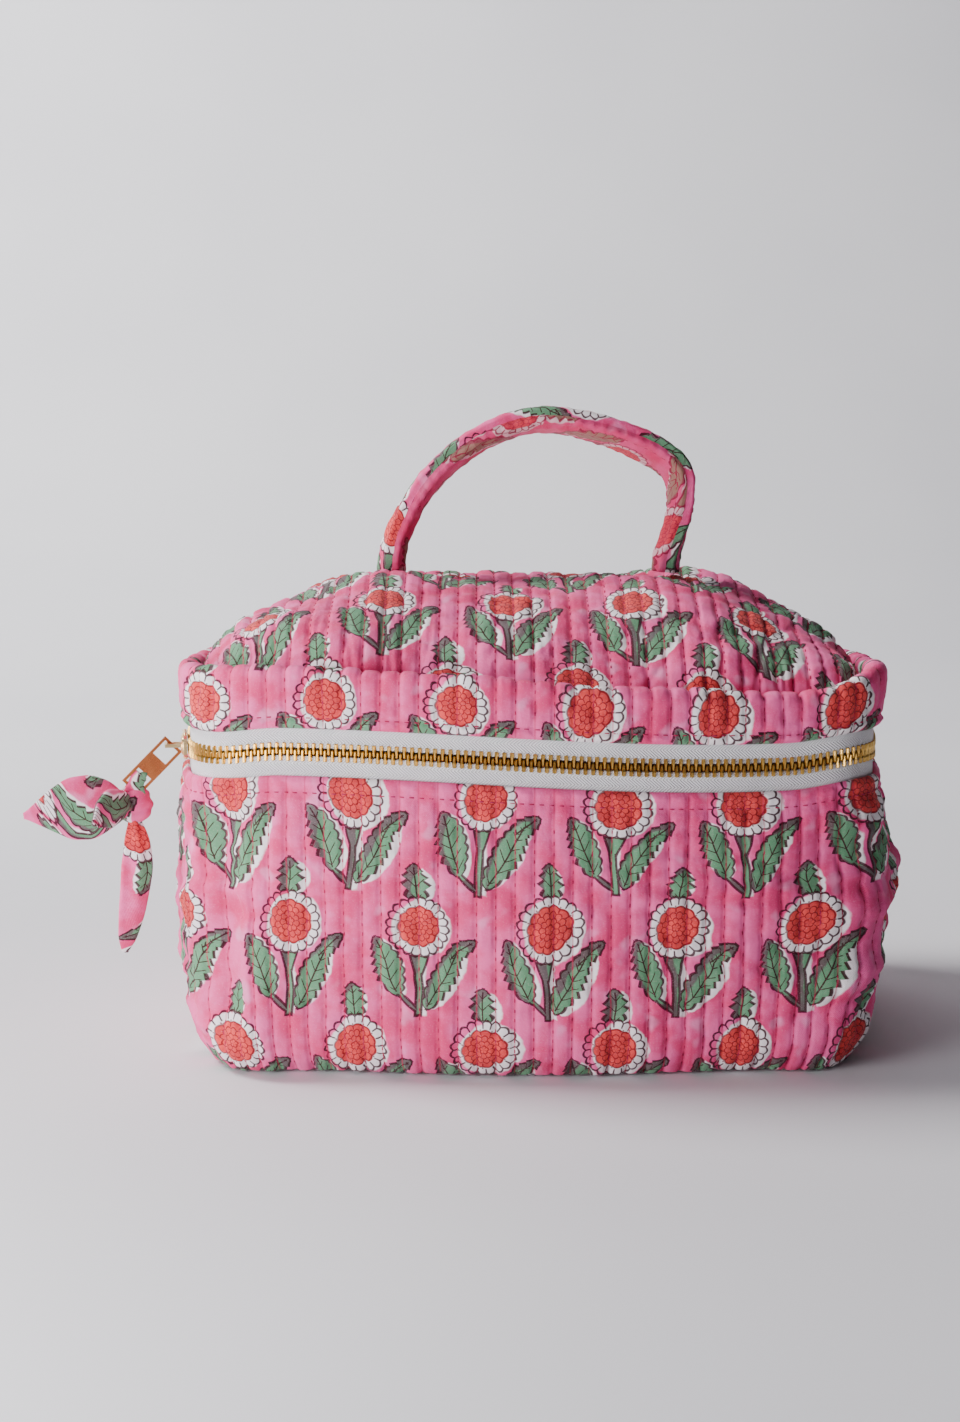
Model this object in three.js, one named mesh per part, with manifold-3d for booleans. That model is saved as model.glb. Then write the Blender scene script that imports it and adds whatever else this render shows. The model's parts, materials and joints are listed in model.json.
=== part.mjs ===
// Quilted cotton makeup bag: a zipped box bag with a domed lid, a top handle and a bow on the zip pull.
// Millimetres, +Z up. The origin is the centre of the base's underside; the front faces -Y and the lid hinges
// along the top of the back, at +Y.
import * as THREE from "three";
import { mergeVertices } from "three/addons/utils/BufferGeometryUtils.js";
import Module from "manifold-3d";

const wasm = await Module();
wasm.setup();

// ---------- Driving dimensions ----------
const GAP = 0.3; // clearance between pieces that touch

// Plan of the bag, at the middle of the zip tape
const WIDTH = 245;
const DEPTH = 168;
const FRONT_RADIUS = 420; // the front and the back bow out to this radius
const SIDE_RADIUS = 260; // so do the two sides
const CORNER_RADIUS = 26;

// Heights
const ZIP_HEIGHT = 109; // centre of the zip chain above the base
const ZIP_REVEAL = 16; // tape that shows between the two quilted edges
const LID_BAND_HEIGHT = 14; // quilted band above the tape
const DOME_RISE = 38; // how far the top panel rises above its seam
const RIM_DROP = 3; // the top panel is sewn in this far below the band's rolled rim

// Fabrics
const QUILT = 3; // printed cotton and wadding, quilted together
const LINING = 1;
const LINING_SLACK = 1.2; // between the top panel and the lining that hangs under it
const TAPE = 0.8;
const TAPE_TUCK = 5; // zip tape hidden behind each quilted edge
const BINDING_HEIGHT = 8;
const BINDING = 1.6;

// The wall's lower edge turns under to the base seam
const TUCK_UNDER = 9;
const TUCK_HEIGHT = 18;

// Zip chain, size 5
const CHAIN_WIDTH = 6;
const CHAIN_THICKNESS = 2.4;
const STOP_LENGTH = 3;
const BACK_SEAM = 135; // outward direction of the seams at the back's two corners, in degrees from the front

// Slider
const SLIDER_LENGTH = 11;
const SLIDER_SHOULDER = 8.8; // its widths across the zip, at the leading end and at the tail
const SLIDER_TAIL = 7.6;
const SLIDER_PLATE = 1.2;
const SLIDER_CLEARANCE = 0.4; // beside the chain, on each face
const POST_THICKNESS = 0.8;
const POST_LENGTH = 2.5;
const SLIDER_MARGIN = 1.5; // from the slider to where the front corner starts to turn
const BAIL_WIDTH = 1.2;
const BAIL_WIRE = 0.8;
const BAIL_HALF_SPAN = 1.9; // inside the bail, along the zip

// Pull tab
const PULL_WIDTH = 8;
const PULL_THICKNESS = 1.2;
const PULL_BAR = 1; // the rails beside the windows and the bar at each end
const PULL_WINDOW = 6.2; // length of each window
const PULL_BRIDGE = 7; // solid middle between the two windows
const PULL_DROOP = 45; // degrees below level
const PIVOT_STANDOFF = 3.7; // the pull's pivot in front of the slider's outer plate

// Bow, a strip of the printed cotton tied through the pull's far window
const STRIP_WIDTH = 2.4;
const STRIP_THICKNESS = 1.2;
const KNOT_CLEARANCE = 2; // between the pull's edge and the knot below it
const KNOT_OFF_WALL = 0.8; // how far from the quilted wall the knot hangs
const KNOT_RADIUS = 6;
const KNOT_HALF_DEPTH = 3.6;
const WING_LENGTH = 34;
const WING_WIDTH = 20;
const WING_THICKNESS = 7;
const WING_FORWARD = 5; // the folded wing lies in front of the pull
const TAIL_LENGTH = 48;
const TAIL_WIDTH = 11;
const TAIL_THICKNESS = 6;
const TAIL_SLANT = 8; // degrees

// Handle
const HANDLE_SPAN = 101; // between the middles of the two feet
const HANDLE_RISE = 52; // from the feet to the middle of the strap's highest point
const STRAP_WIDTH = 20;
const STRAP_THICKNESS = 6;
const FOOT_WIDTH = 9; // the strap is pinched to this where it is sewn down
const STRAP_FLARE = 45; // the strap reaches its full width this far from each foot

// ---------- Worked out from them ----------
const radians = THREE.MathUtils.degToRad;
const lowerEdge = ZIP_HEIGHT - ZIP_REVEAL / 2;
const upperEdge = ZIP_HEIGHT + ZIP_REVEAL / 2;
const rimHeight = upperEdge + LID_BAND_HEIGHT;
const lidSeamHeight = rimHeight - RIM_DROP;
const ridgeHeight = lidSeamHeight + DOME_RISE;
const quiltInner = TAPE / 2 + GAP; // offsets outward from the middle of the tape
const quiltOuter = quiltInner + QUILT;
const liningOuter = -quiltInner;
const liningInner = liningOuter - LINING;
const wallFoot = quiltInner - TUCK_UNDER; // the inside of the wall's lower edge
const chainSlot = POST_THICKNESS + 2 * GAP; // between the two rows of teeth
const rowHeight = (CHAIN_WIDTH - chainSlot) / 2;
const backSeam = radians(BACK_SEAM);
const sliderChannel = CHAIN_THICKNESS + 2 * SLIDER_CLEARANCE;

// ---------- Materials ----------
const cloth = (color) => new THREE.MeshStandardMaterial({ color, roughness: 0.9, metalness: 0 });
const metal = (color) => new THREE.MeshStandardMaterial({ color, roughness: 0.3, metalness: 1 });
const printedQuilt = cloth(0xe8869f);
const printedCotton = cloth(0xd9607c);
const liningCotton = cloth(0xf4e9e4);
const tapeWeave = cloth(0xf1f1ee);
const brass = metal(0xc9a35a);
const copper = metal(0xc98a62);

// ---------- Plan outline ----------
// Tangent arcs, symmetric left to right and front to back. Each outward direction belongs to one point of the
// outline: 0 is the middle of the front, a quarter turn the middle of the right side, half a turn the back.
const cornerCentre = solveCorner();
const frontLimit = Math.atan2(cornerCentre.x, FRONT_RADIUS - DEPTH / 2 + cornerCentre.y);
const sideLimit = Math.PI / 2 - Math.atan2(cornerCentre.y, SIDE_RADIUS - WIDTH / 2 + cornerCentre.x);

// The centre of the corner arc that touches both the front arc and the side arc from inside, by Newton's method.
function solveCorner() {
  const steps = 50;
  const c = new THREE.Vector2(WIDTH / 2 - CORNER_RADIUS, DEPTH / 2 - CORNER_RADIUS);
  for (let i = 0; i < steps; i++) {
    const toSide = new THREE.Vector2(c.x + SIDE_RADIUS - WIDTH / 2, c.y);
    const toFront = new THREE.Vector2(c.x, c.y + FRONT_RADIUS - DEPTH / 2);
    const sideError = toSide.length() - (SIDE_RADIUS - CORNER_RADIUS);
    const frontError = toFront.length() - (FRONT_RADIUS - CORNER_RADIUS);
    toSide.normalize();
    toFront.normalize();
    const det = toSide.x * toFront.y - toSide.y * toFront.x;
    c.x -= (sideError * toFront.y - frontError * toSide.y) / det;
    c.y -= (frontError * toSide.x - sideError * toFront.x) / det;
  }
  return c;
}

function planPoint(angle, offset = 0) {
  const nx = Math.sin(angle);
  const ny = -Math.cos(angle);
  const folded = Math.atan2(Math.abs(nx), Math.abs(ny));
  let centre = [Math.sign(nx) * cornerCentre.x, Math.sign(ny) * cornerCentre.y];
  let radius = CORNER_RADIUS;
  if (folded <= frontLimit) {
    centre = [0, Math.sign(ny) * (DEPTH / 2 - FRONT_RADIUS)];
    radius = FRONT_RADIUS;
  } else if (folded >= sideLimit) {
    centre = [Math.sign(nx) * (WIDTH / 2 - SIDE_RADIUS), 0];
    radius = SIDE_RADIUS;
  }
  return new THREE.Vector2(centre[0] + nx * (radius + offset), centre[1] + ny * (radius + offset));
}

// Outward directions of the stations round the whole outline, closer together where it turns in less length.
function stationAngles() {
  const starts = [0, frontLimit, sideLimit, Math.PI / 2];
  const counts = [3, 5, 3];
  const quarter = counts.flatMap((count, i) =>
    Array.from({ length: count }, (_, k) => starts[i] + ((starts[i + 1] - starts[i]) * k) / count),
  );
  const rear = quarter.slice(1).map((a) => Math.PI - a).reverse();
  const half = [...quarter, Math.PI / 2, ...rear];
  return [...half, ...half.map((a) => a + Math.PI)];
}
const allStations = stationAngles();

function stationsBetween(from, to) {
  const turn = 2 * Math.PI;
  const clear = 1e-3;
  const inside = [-turn, 0, turn]
    .flatMap((shift) => allStations.map((a) => a + shift))
    .filter((a) => a > from + clear && a < to - clear)
    .sort((a, b) => a - b);
  return [from, ...inside, to];
}

// ---------- Solids ----------
function geometryFrom(positions, triangles) {
  const g = new THREE.BufferGeometry();
  g.setAttribute("position", new THREE.Float32BufferAttribute(positions.flat(), 3));
  g.setIndex(triangles.flat());
  g.computeVertexNormals();
  return g;
}

// Sweeps a closed profile of [offset, height] corners along the outline. The profile runs anticlockwise with
// the outward offset to the right. A closed band goes all the way round; an open one has two flat ends.
function band(angles, profile, closed = false) {
  const n = profile.length;
  const positions = angles.flatMap((angle) =>
    profile.map(([offset, z]) => {
      const p = planPoint(angle, offset);
      return [p.x, p.y, z];
    }),
  );
  const triangles = [];
  const spans = closed ? angles.length : angles.length - 1;
  for (let i = 0; i < spans; i++) {
    const a = i * n;
    const b = ((i + 1) % angles.length) * n;
    for (let k = 0; k < n; k++) {
      const m = (k + 1) % n;
      triangles.push([a + k, b + k, b + m], [a + k, b + m, a + m]);
    }
  }
  if (!closed) {
    const corners = profile.map(([x, y]) => new THREE.Vector2(x, y));
    const last = (angles.length - 1) * n;
    for (const [a, b, c] of THREE.ShapeUtils.triangulateShape(corners, [])) {
      triangles.push([a, b, c], [last + a, last + c, last + b]);
    }
  }
  return geometryFrom(positions, triangles);
}

// A flat plate with the bag's outline moved by an offset, between two heights.
function plate(offset, bottom, top) {
  const shape = new THREE.Shape(allStations.map((angle) => planPoint(angle, offset)));
  const g = new THREE.ExtrudeGeometry(shape, { depth: top - bottom, bevelEnabled: false });
  return g.translate(0, 0, bottom);
}

// Powers that shape the dome: 1 is a straight slope, and more is rounder over the top and steeper at the seam
const SIDEWAYS_POWER = 1.2;
const FORWARD_POWER = 2.5;
const SEAM_POWER = 12;

// Height of the top panel's upper face. It is flat between the handle's feet, falls almost straight to the two
// sides, and rounds over to the front and the back. reach is 0 in the middle and 1 at the seam.
function domeHeight(x, y, reach) {
  const flat = HANDLE_SPAN / 2;
  const sideways = Math.min(1, Math.max(0, Math.abs(x) - flat) / (WIDTH / 2 - flat));
  const forward = Math.min(1, Math.abs(y) / (DEPTH / 2));
  const slopes = (1 - sideways ** SIDEWAYS_POWER) * (1 - forward ** FORWARD_POWER);
  const fullness = slopes * (1 - reach ** SEAM_POWER);
  return lidSeamHeight + DOME_RISE * fullness;
}

// A domed sheet below the dome's upper face, out to an offset of the outline.
function domeSheet(offset, below, thickness) {
  const rings = 7;
  const count = allStations.length;
  const positions = [];
  const triangles = [];
  for (const sink of [below, below + thickness]) {
    positions.push([0, 0, domeHeight(0, 0, 0) - sink]);
    for (let r = 1; r <= rings; r++) {
      for (const angle of allStations) {
        const p = planPoint(angle, offset).multiplyScalar(r / rings);
        positions.push([p.x, p.y, domeHeight(p.x, p.y, r / rings) - sink]);
      }
    }
  }
  const lower = 1 + rings * count;
  const at = (r, k) => 1 + (r - 1) * count + (k % count);
  for (let k = 0; k < count; k++) {
    triangles.push([0, at(1, k), at(1, k + 1)], [lower, lower + at(1, k + 1), lower + at(1, k)]);
    for (let r = 1; r < rings; r++) {
      const [a, b, c, d] = [at(r, k), at(r + 1, k), at(r + 1, k + 1), at(r, k + 1)];
      triangles.push([a, b, c], [a, c, d]);
      triangles.push([lower + a, lower + c, lower + b], [lower + a, lower + d, lower + c]);
    }
    const [a, b] = [at(rings, k), at(rings, k + 1)];
    triangles.push([a, lower + a, lower + b], [a, lower + b, b]);
  }
  return geometryFrom(positions, triangles);
}

function solid(geometry) {
  const bare = geometry.clone();
  bare.deleteAttribute("normal");
  bare.deleteAttribute("uv");
  const merged = mergeVertices(bare, 1e-4);
  const vertProperties = merged.attributes.position.array;
  const triVerts = new Uint32Array(merged.index.array);
  return new wasm.Manifold(new wasm.Mesh({ numProp: 3, vertProperties, triVerts }));
}

function geometryOf(manifold) {
  const mesh = manifold.getMesh();
  const g = new THREE.BufferGeometry();
  g.setAttribute("position", new THREE.BufferAttribute(mesh.vertProperties, 3));
  g.setIndex(new THREE.BufferAttribute(mesh.triVerts, 1));
  g.computeVertexNormals();
  return g;
}

const joined = (...geometries) => geometryOf(geometries.map(solid).reduce((a, b) => a.add(b)));
const cutFrom = (body, ...tools) => geometryOf(tools.map(solid).reduce((a, b) => a.subtract(b), solid(body)));

// Extrudes a shape drawn in X and Z by a depth centred on Y.
function extrudedAcross(shape, depth, curveSegments = 8) {
  const g = new THREE.ExtrudeGeometry(shape, { depth, bevelEnabled: false, curveSegments });
  return g.rotateX(Math.PI / 2).translate(0, depth / 2, 0);
}

function block(low, high) {
  const [x, y, z] = low.map((value, i) => high[i] - value);
  const middle = low.map((value, i) => (value + high[i]) / 2);
  return new THREE.BoxGeometry(x, y, z).translate(...middle);
}

function piece(name, geometry, material, parent) {
  const mesh = new THREE.Mesh(geometry, material);
  mesh.name = name;
  parent.add(mesh);
}

// ---------- Body: quilted wall, back, base, lining ----------
// The quilted wall runs straight down from the zip and turns under to the base seam.
function wallProfile(top) {
  const shares = [0, 0.25, 0.5, 0.75, 1];
  const turned = shares.map((share) => [
    quiltOuter - TUCK_UNDER * (1 - Math.sin((share * Math.PI) / 2)),
    GAP + TUCK_HEIGHT * (1 - Math.cos((share * Math.PI) / 2)),
  ]);
  const inner = turned.map(([offset, z]) => [offset - QUILT, z]).reverse();
  return [...turned, [quiltOuter, top], [quiltInner, top], ...inner];
}

function bodyLiningProfile() {
  const foot = wallFoot - GAP;
  const floor = QUILT + GAP;
  const shoulder = GAP + TUCK_HEIGHT;
  const top = lowerEdge - GAP;
  return [[foot - LINING, floor], [foot, floor], [liningOuter, shoulder], [liningOuter, top],
    [liningInner, top], [liningInner, shoulder]];
}

function uprightProfile(outer, thickness, bottom, top) {
  return [[outer - thickness, bottom], [outer, bottom], [outer, top], [outer - thickness, top]];
}

const seamGap = GAP / CORNER_RADIUS / 2; // half the gap at each back seam, as a turn of the corner
const frontAndSides = stationsBetween(-backSeam + seamGap, backSeam - seamGap);
const back = stationsBetween(backSeam + seamGap, 2 * Math.PI - backSeam - seamGap);

function addBody(bag) {
  const floorLiningEdge = wallFoot - 2 * GAP - LINING;
  const floorLiningTop = QUILT + GAP + LINING;
  const bindingBottom = floorLiningTop + GAP;
  piece("base_panel", plate(wallFoot - GAP, 0, QUILT), printedQuilt, bag);
  piece("body_wall", band(frontAndSides, wallProfile(lowerEdge)), printedQuilt, bag);
  piece("back_panel", band(back, wallProfile(ZIP_HEIGHT - GAP / 2)), printedQuilt, bag);
  piece("base_lining", plate(floorLiningEdge, QUILT + GAP, floorLiningTop), liningCotton, bag);
  piece("body_lining", band(allStations, bodyLiningProfile(), true), liningCotton, bag);
  const binding = uprightProfile(floorLiningEdge, BINDING, bindingBottom, bindingBottom + BINDING_HEIGHT);
  piece("base_seam_binding", band(allStations, binding, true), printedCotton, bag);
}

// ---------- Lid: band, top panel, lining ----------
function addLid(lid) {
  const panelEdge = quiltInner - GAP;
  const liningTop = lidSeamHeight - QUILT - GAP;
  const bandProfile = (bottom) => [
    [quiltInner, bottom], [quiltOuter, bottom], [quiltOuter, rimHeight - QUILT / 2],
    [quiltOuter - QUILT / 4, rimHeight - QUILT / 6], [quiltOuter - QUILT / 2, rimHeight],
    [quiltInner, rimHeight - QUILT / 6],
  ];
  piece("lid_band", band(frontAndSides, bandProfile(upperEdge)), printedQuilt, lid);
  piece("lid_back_band", band(back, bandProfile(ZIP_HEIGHT + GAP / 2)), printedQuilt, lid);
  piece("lid_top", domeSheet(panelEdge, 0, QUILT), printedQuilt, lid);
  const skirt = uprightProfile(liningOuter, LINING, upperEdge + GAP, liningTop);
  piece("lid_band_lining", band(allStations, skirt, true), liningCotton, lid);
  const binding = uprightProfile(liningInner - GAP, BINDING, liningTop - BINDING_HEIGHT, liningTop);
  piece("lid_seam_binding", band(allStations, binding, true), printedCotton, lid);
  const domeLiningEdge = liningInner - 2 * GAP - BINDING;
  piece("lid_lining", domeSheet(domeLiningEdge, QUILT + LINING_SLACK, LINING), liningCotton, lid);
}

// ---------- Zip: one half on the body and one on the lid ----------
function addZipHalf(half, parent, side) {
  const stopTurn = STOP_LENGTH / CORNER_RADIUS;
  const left = -backSeam + 2 * seamGap;
  const right = backSeam - 2 * seamGap;
  const rowStart = left + stopTurn + 2 * seamGap;
  const rowEnd = right - stopTurn - 2 * seamGap;
  const near = chainSlot / 2;
  const far = near + rowHeight;
  const strip = (thickness, from, to) => {
    const bottom = ZIP_HEIGHT + Math.min(side * from, side * to);
    const top = ZIP_HEIGHT + Math.max(side * from, side * to);
    return uprightProfile(thickness / 2, thickness, bottom, top);
  };
  const tape = strip(TAPE, far + GAP, ZIP_REVEAL / 2 + TAPE_TUCK);
  const row = strip(CHAIN_THICKNESS, near, far);
  piece(`${half}_zip_tape`, band(stationsBetween(left, right), tape), tapeWeave, parent);
  piece(`${half}_zip_teeth`, band(stationsBetween(rowStart, rowEnd), row), brass, parent);
  piece(`${half}_zip_top_stop`, band(stationsBetween(left, left + stopTurn), row), brass, parent);
  if (half === "lower") {
    const whole = uprightProfile(CHAIN_THICKNESS / 2, CHAIN_THICKNESS, ZIP_HEIGHT - far, ZIP_HEIGHT + far);
    piece("zip_bottom_stop", band(stationsBetween(right - stopTurn, right), whole), brass, parent);
  }
}

// A narrow tape on the inside of the back, just under the fold that the lid turns on.
function addHingeTape(bag) {
  const top = ZIP_HEIGHT - GAP / 2;
  const tape = uprightProfile(liningOuter, LINING, lowerEdge, top);
  piece("hinge_tape", band(back, tape), printedCotton, bag);
}

// ---------- Slider, pull and bow ----------
// The slider's own frame: X outward from the bag, Y along the zip towards the front, Z up.
const outerPlateFace = sliderChannel / 2 + SLIDER_PLATE;

function sliderPlate(innerFace) {
  const lead = SLIDER_LENGTH / 2;
  const corners = [
    [-lead, -SLIDER_SHOULDER / 2 + 1], [-lead + 1, -SLIDER_SHOULDER / 2], [-lead + 4, -SLIDER_SHOULDER / 2],
    [lead - 1, -SLIDER_TAIL / 2], [lead, -SLIDER_TAIL / 2 + 1],
  ];
  const mirrored = corners.map(([y, z]) => [y, -z]).reverse();
  const shape = new THREE.Shape([...corners, ...mirrored].map(([y, z]) => new THREE.Vector2(y, z)));
  const g = new THREE.ExtrudeGeometry(shape, { depth: SLIDER_PLATE, bevelEnabled: false });
  g.rotateX(Math.PI / 2).rotateZ(Math.PI / 2); // drawn in Y and Z, and extruded along X
  return g.translate(innerFace, 0, 0);
}

function sliderBody() {
  const half = sliderChannel / 2;
  const bite = 0.2; // overlap that joins the post and the bail to the plates
  const post = new THREE.BoxGeometry(sliderChannel + 2 * bite, POST_LENGTH, POST_THICKNESS);
  post.translate(0, -SLIDER_LENGTH / 2 + POST_LENGTH / 2, 0);
  const rise = PIVOT_STANDOFF + PULL_BAR + 2 * GAP + BAIL_WIDTH / 4; // to the inside of the bail's top
  const reach = BAIL_HALF_SPAN + BAIL_WIRE;
  const wide = BAIL_WIDTH / 2;
  const bail = cutFrom(
    block([-bite, -reach, -wide], [rise + BAIL_WIRE, reach, wide]),
    block([-1, -BAIL_HALF_SPAN, -BAIL_WIDTH], [rise, BAIL_HALF_SPAN, BAIL_WIDTH]),
  );
  bail.translate(outerPlateFace, 0, 0);
  return joined(sliderPlate(half), sliderPlate(-half - SLIDER_PLATE), post, bail);
}

const pullLength = PULL_BRIDGE + 2 * PULL_WINDOW + 2 * PULL_BAR;
const farWindow = pullLength - PULL_BAR / 2 - PULL_BAR - PULL_WINDOW / 2; // from the pivot to its centre
const knotReach = PULL_WIDTH / 2 + KNOT_CLEARANCE + KNOT_RADIUS; // from that window's centre to the knot's

// The plate, with its near bar on the pivot.
function pullTab() {
  const start = -PULL_BAR / 2;
  const half = PULL_WIDTH / 2;
  const thin = PULL_THICKNESS / 2;
  const windows = [PULL_BAR / 2 + PULL_WINDOW / 2, farWindow].map((centre) =>
    block([centre - PULL_WINDOW / 2, -1, -half + PULL_BAR], [centre + PULL_WINDOW / 2, 1, half - PULL_BAR]),
  );
  return cutFrom(block([start, -thin, -half], [start + pullLength, thin, half]), ...windows);
}

// The knot, with the strip that runs from it through the far window and back.
function bowKnot() {
  const inner = PULL_THICKNESS / 2 + GAP;
  const outer = inner + STRIP_THICKNESS;
  const above = STRIP_THICKNESS / 2;
  const wide = STRIP_WIDTH / 2;
  const strip = cutFrom(
    block([-above, -outer, -wide], [knotReach, outer, wide]),
    block([above, -inner, -STRIP_WIDTH], [knotReach - KNOT_RADIUS / 2, inner, STRIP_WIDTH]),
  );
  const knot = new THREE.SphereGeometry(KNOT_RADIUS, 14, 10);
  knot.scale(1, KNOT_HALF_DEPTH / KNOT_RADIUS, 1).translate(knotReach, 0, 0);
  return joined(strip, knot);
}

// A pointed fold of cloth, widest near its root, from the origin along +X.
function foldedEnd(length, width, thickness) {
  const half = width / 2;
  const shape = new THREE.Shape();
  shape.moveTo(0, -half / 3);
  shape.quadraticCurveTo(length / 4, -half * 1.6, length, 0);
  shape.quadraticCurveTo(length / 4, half * 1.6, 0, half / 3);
  return extrudedAcross(shape, thickness, 6);
}

function addZipPull(bag) {
  const turn = -sideLimit - (SLIDER_LENGTH / 2 + SLIDER_MARGIN) / SIDE_RADIUS; // outward direction
  const place = planPoint(turn);
  const slider = new THREE.Group();
  slider.position.set(place.x, place.y, ZIP_HEIGHT);
  slider.rotation.z = turn - Math.PI / 2;
  slider.name = "slider_frame";
  bag.add(slider);
  piece("zip_slider", sliderBody(), brass, slider);

  const pull = new THREE.Group();
  pull.position.x = outerPlateFace + PIVOT_STANDOFF;
  pull.rotation.y = radians(PULL_DROOP);
  pull.name = "pull_frame";
  slider.add(pull);
  piece("pull_tab", pullTab(), copper, pull);

  const bow = new THREE.Group();
  bow.position.x = farWindow;
  bow.rotation.y = -radians(PULL_DROOP);
  bow.name = "bow_frame";
  pull.add(bow);
  const windowStandoff = pull.position.x + farWindow * Math.cos(radians(PULL_DROOP));
  const knotX = quiltOuter + KNOT_OFF_WALL + KNOT_RADIUS - windowStandoff;
  const knotTurn = Math.acos(knotX / knotReach); // below level, back towards the wall
  const knotZ = -knotReach * Math.sin(knotTurn);
  piece("bow_knot", bowKnot().rotateY(knotTurn), printedCotton, bow);
  const wing = foldedEnd(WING_LENGTH, WING_WIDTH, WING_THICKNESS);
  wing.translate(knotX + KNOT_RADIUS + GAP, WING_FORWARD, knotZ);
  piece("bow_wing", wing, printedCotton, bow);
  const tail = foldedEnd(TAIL_LENGTH, TAIL_WIDTH, TAIL_THICKNESS);
  tail.rotateY(Math.PI / 2 - radians(TAIL_SLANT)).translate(knotX, 0, knotZ - KNOT_RADIUS - 2 * GAP);
  piece("bow_tail", tail, printedCotton, bow);
}

// ---------- Handle ----------
// The strap rises steeply from its left foot, leans over to its highest point just right of the middle, and
// folds sharply down to its right foot. It is pinched narrow at both feet.
function handleStrap() {
  const half = HANDLE_SPAN / 2;
  const outline = [[-1, 0], [-0.93, 0.22], [-0.72, 0.56], [-0.36, 0.86], [0.08, 1], [0.6, 0.9], [1.04, 0.68],
    [1.1, 0.4], [1.04, 0.16], [1, 0]];
  const curve = new THREE.CatmullRomCurve3(
    outline.map(([x, z]) => new THREE.Vector3(x * half, 0, z * HANDLE_RISE)), false, "centripetal");
  const steps = 30;
  const thin = STRAP_THICKNESS / 2;
  const corner = STRAP_THICKNESS / 4;
  const positions = [];
  const triangles = [];
  for (let i = 0; i <= steps; i++) {
    const p = curve.getPointAt(i / steps);
    const along = curve.getTangentAt(i / steps);
    const wide = pinchedHalfWidth((i / steps) * curve.getLength(), curve.getLength());
    const section = [[-thin, -wide + corner], [-thin, wide - corner], [-thin + corner, wide],
      [thin - corner, wide], [thin, wide - corner], [thin, -wide + corner], [thin - corner, -wide],
      [-thin + corner, -wide]];
    for (const [outward, across] of section) {
      positions.push([p.x - along.z * outward, across, p.z + along.x * outward]);
    }
  }
  const n = 8;
  for (let i = 0; i < steps; i++) {
    for (let k = 0; k < n; k++) {
      const [a, b, c, d] = [i * n + k, i * n + ((k + 1) % n), (i + 1) * n + ((k + 1) % n), (i + 1) * n + k];
      triangles.push([a, b, c], [a, c, d]);
    }
  }
  for (let k = 1; k < n - 1; k++) {
    const last = steps * n;
    triangles.push([0, k + 1, k], [last, last + k, last + k + 1]);
  }
  return geometryFrom(positions, triangles);
}

function pinchedHalfWidth(distance, length) {
  const share = Math.min(1, Math.min(distance, length - distance) / STRAP_FLARE);
  const eased = share * share * (3 - 2 * share);
  return FOOT_WIDTH / 2 + ((STRAP_WIDTH - FOOT_WIDTH) / 2) * eased;
}

function addHandle(lid) {
  const handle = new THREE.Group();
  handle.position.z = ridgeHeight + GAP + FOOT_WIDTH / 2;
  handle.name = "handle_frame";
  lid.add(handle);
  piece("handle_strap", handleStrap(), printedQuilt, handle);
}

// ---------- Assembly ----------
const bag = new THREE.Group();
const lid = new THREE.Group();
bag.add(lid);
addBody(bag);
addHingeTape(bag);
addZipHalf("lower", bag, -1);
addZipHalf("upper", lid, 1);
addLid(lid);
addHandle(lid);
addZipPull(bag);

export default bag;
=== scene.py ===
"""Quilted, block-printed cotton makeup bag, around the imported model. Lengths here are in millimetres."""
import json
import math
import bpy
import numpy as np
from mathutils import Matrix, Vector


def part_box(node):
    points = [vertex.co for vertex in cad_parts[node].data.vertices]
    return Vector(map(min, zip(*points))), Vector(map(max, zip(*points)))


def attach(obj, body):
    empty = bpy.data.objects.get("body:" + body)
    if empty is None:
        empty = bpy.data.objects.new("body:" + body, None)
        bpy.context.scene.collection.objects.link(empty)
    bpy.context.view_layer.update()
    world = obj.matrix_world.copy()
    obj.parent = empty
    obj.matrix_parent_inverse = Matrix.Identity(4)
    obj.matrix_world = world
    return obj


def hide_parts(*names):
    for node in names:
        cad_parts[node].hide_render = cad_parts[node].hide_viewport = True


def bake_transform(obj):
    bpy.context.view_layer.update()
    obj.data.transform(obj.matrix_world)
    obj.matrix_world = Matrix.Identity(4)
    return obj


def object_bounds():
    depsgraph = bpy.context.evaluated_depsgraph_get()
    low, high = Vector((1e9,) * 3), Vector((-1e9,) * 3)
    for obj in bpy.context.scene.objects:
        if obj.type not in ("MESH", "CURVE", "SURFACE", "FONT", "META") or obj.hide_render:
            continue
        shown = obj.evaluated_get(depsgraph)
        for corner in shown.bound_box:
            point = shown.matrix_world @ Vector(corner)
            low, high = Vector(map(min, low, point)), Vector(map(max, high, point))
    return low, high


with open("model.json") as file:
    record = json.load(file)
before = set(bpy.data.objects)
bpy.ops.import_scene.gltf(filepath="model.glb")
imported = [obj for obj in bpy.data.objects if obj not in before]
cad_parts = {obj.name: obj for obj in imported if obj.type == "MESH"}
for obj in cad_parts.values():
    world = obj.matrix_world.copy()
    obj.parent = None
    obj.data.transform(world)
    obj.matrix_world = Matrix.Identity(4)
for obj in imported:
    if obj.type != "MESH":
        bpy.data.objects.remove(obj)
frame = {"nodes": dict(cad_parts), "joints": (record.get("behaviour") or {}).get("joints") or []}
cad_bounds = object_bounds()

MM = 0.001
TAU = 2 * math.pi


def node_box(name):
    """Lowest and highest corners of a CAD node, in millimetres."""
    low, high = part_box(name)
    return np.array(low) / MM, np.array(high) / MM


def joint(name):
    return next(j for j in frame["joints"] if j["name"] == name)


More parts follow.
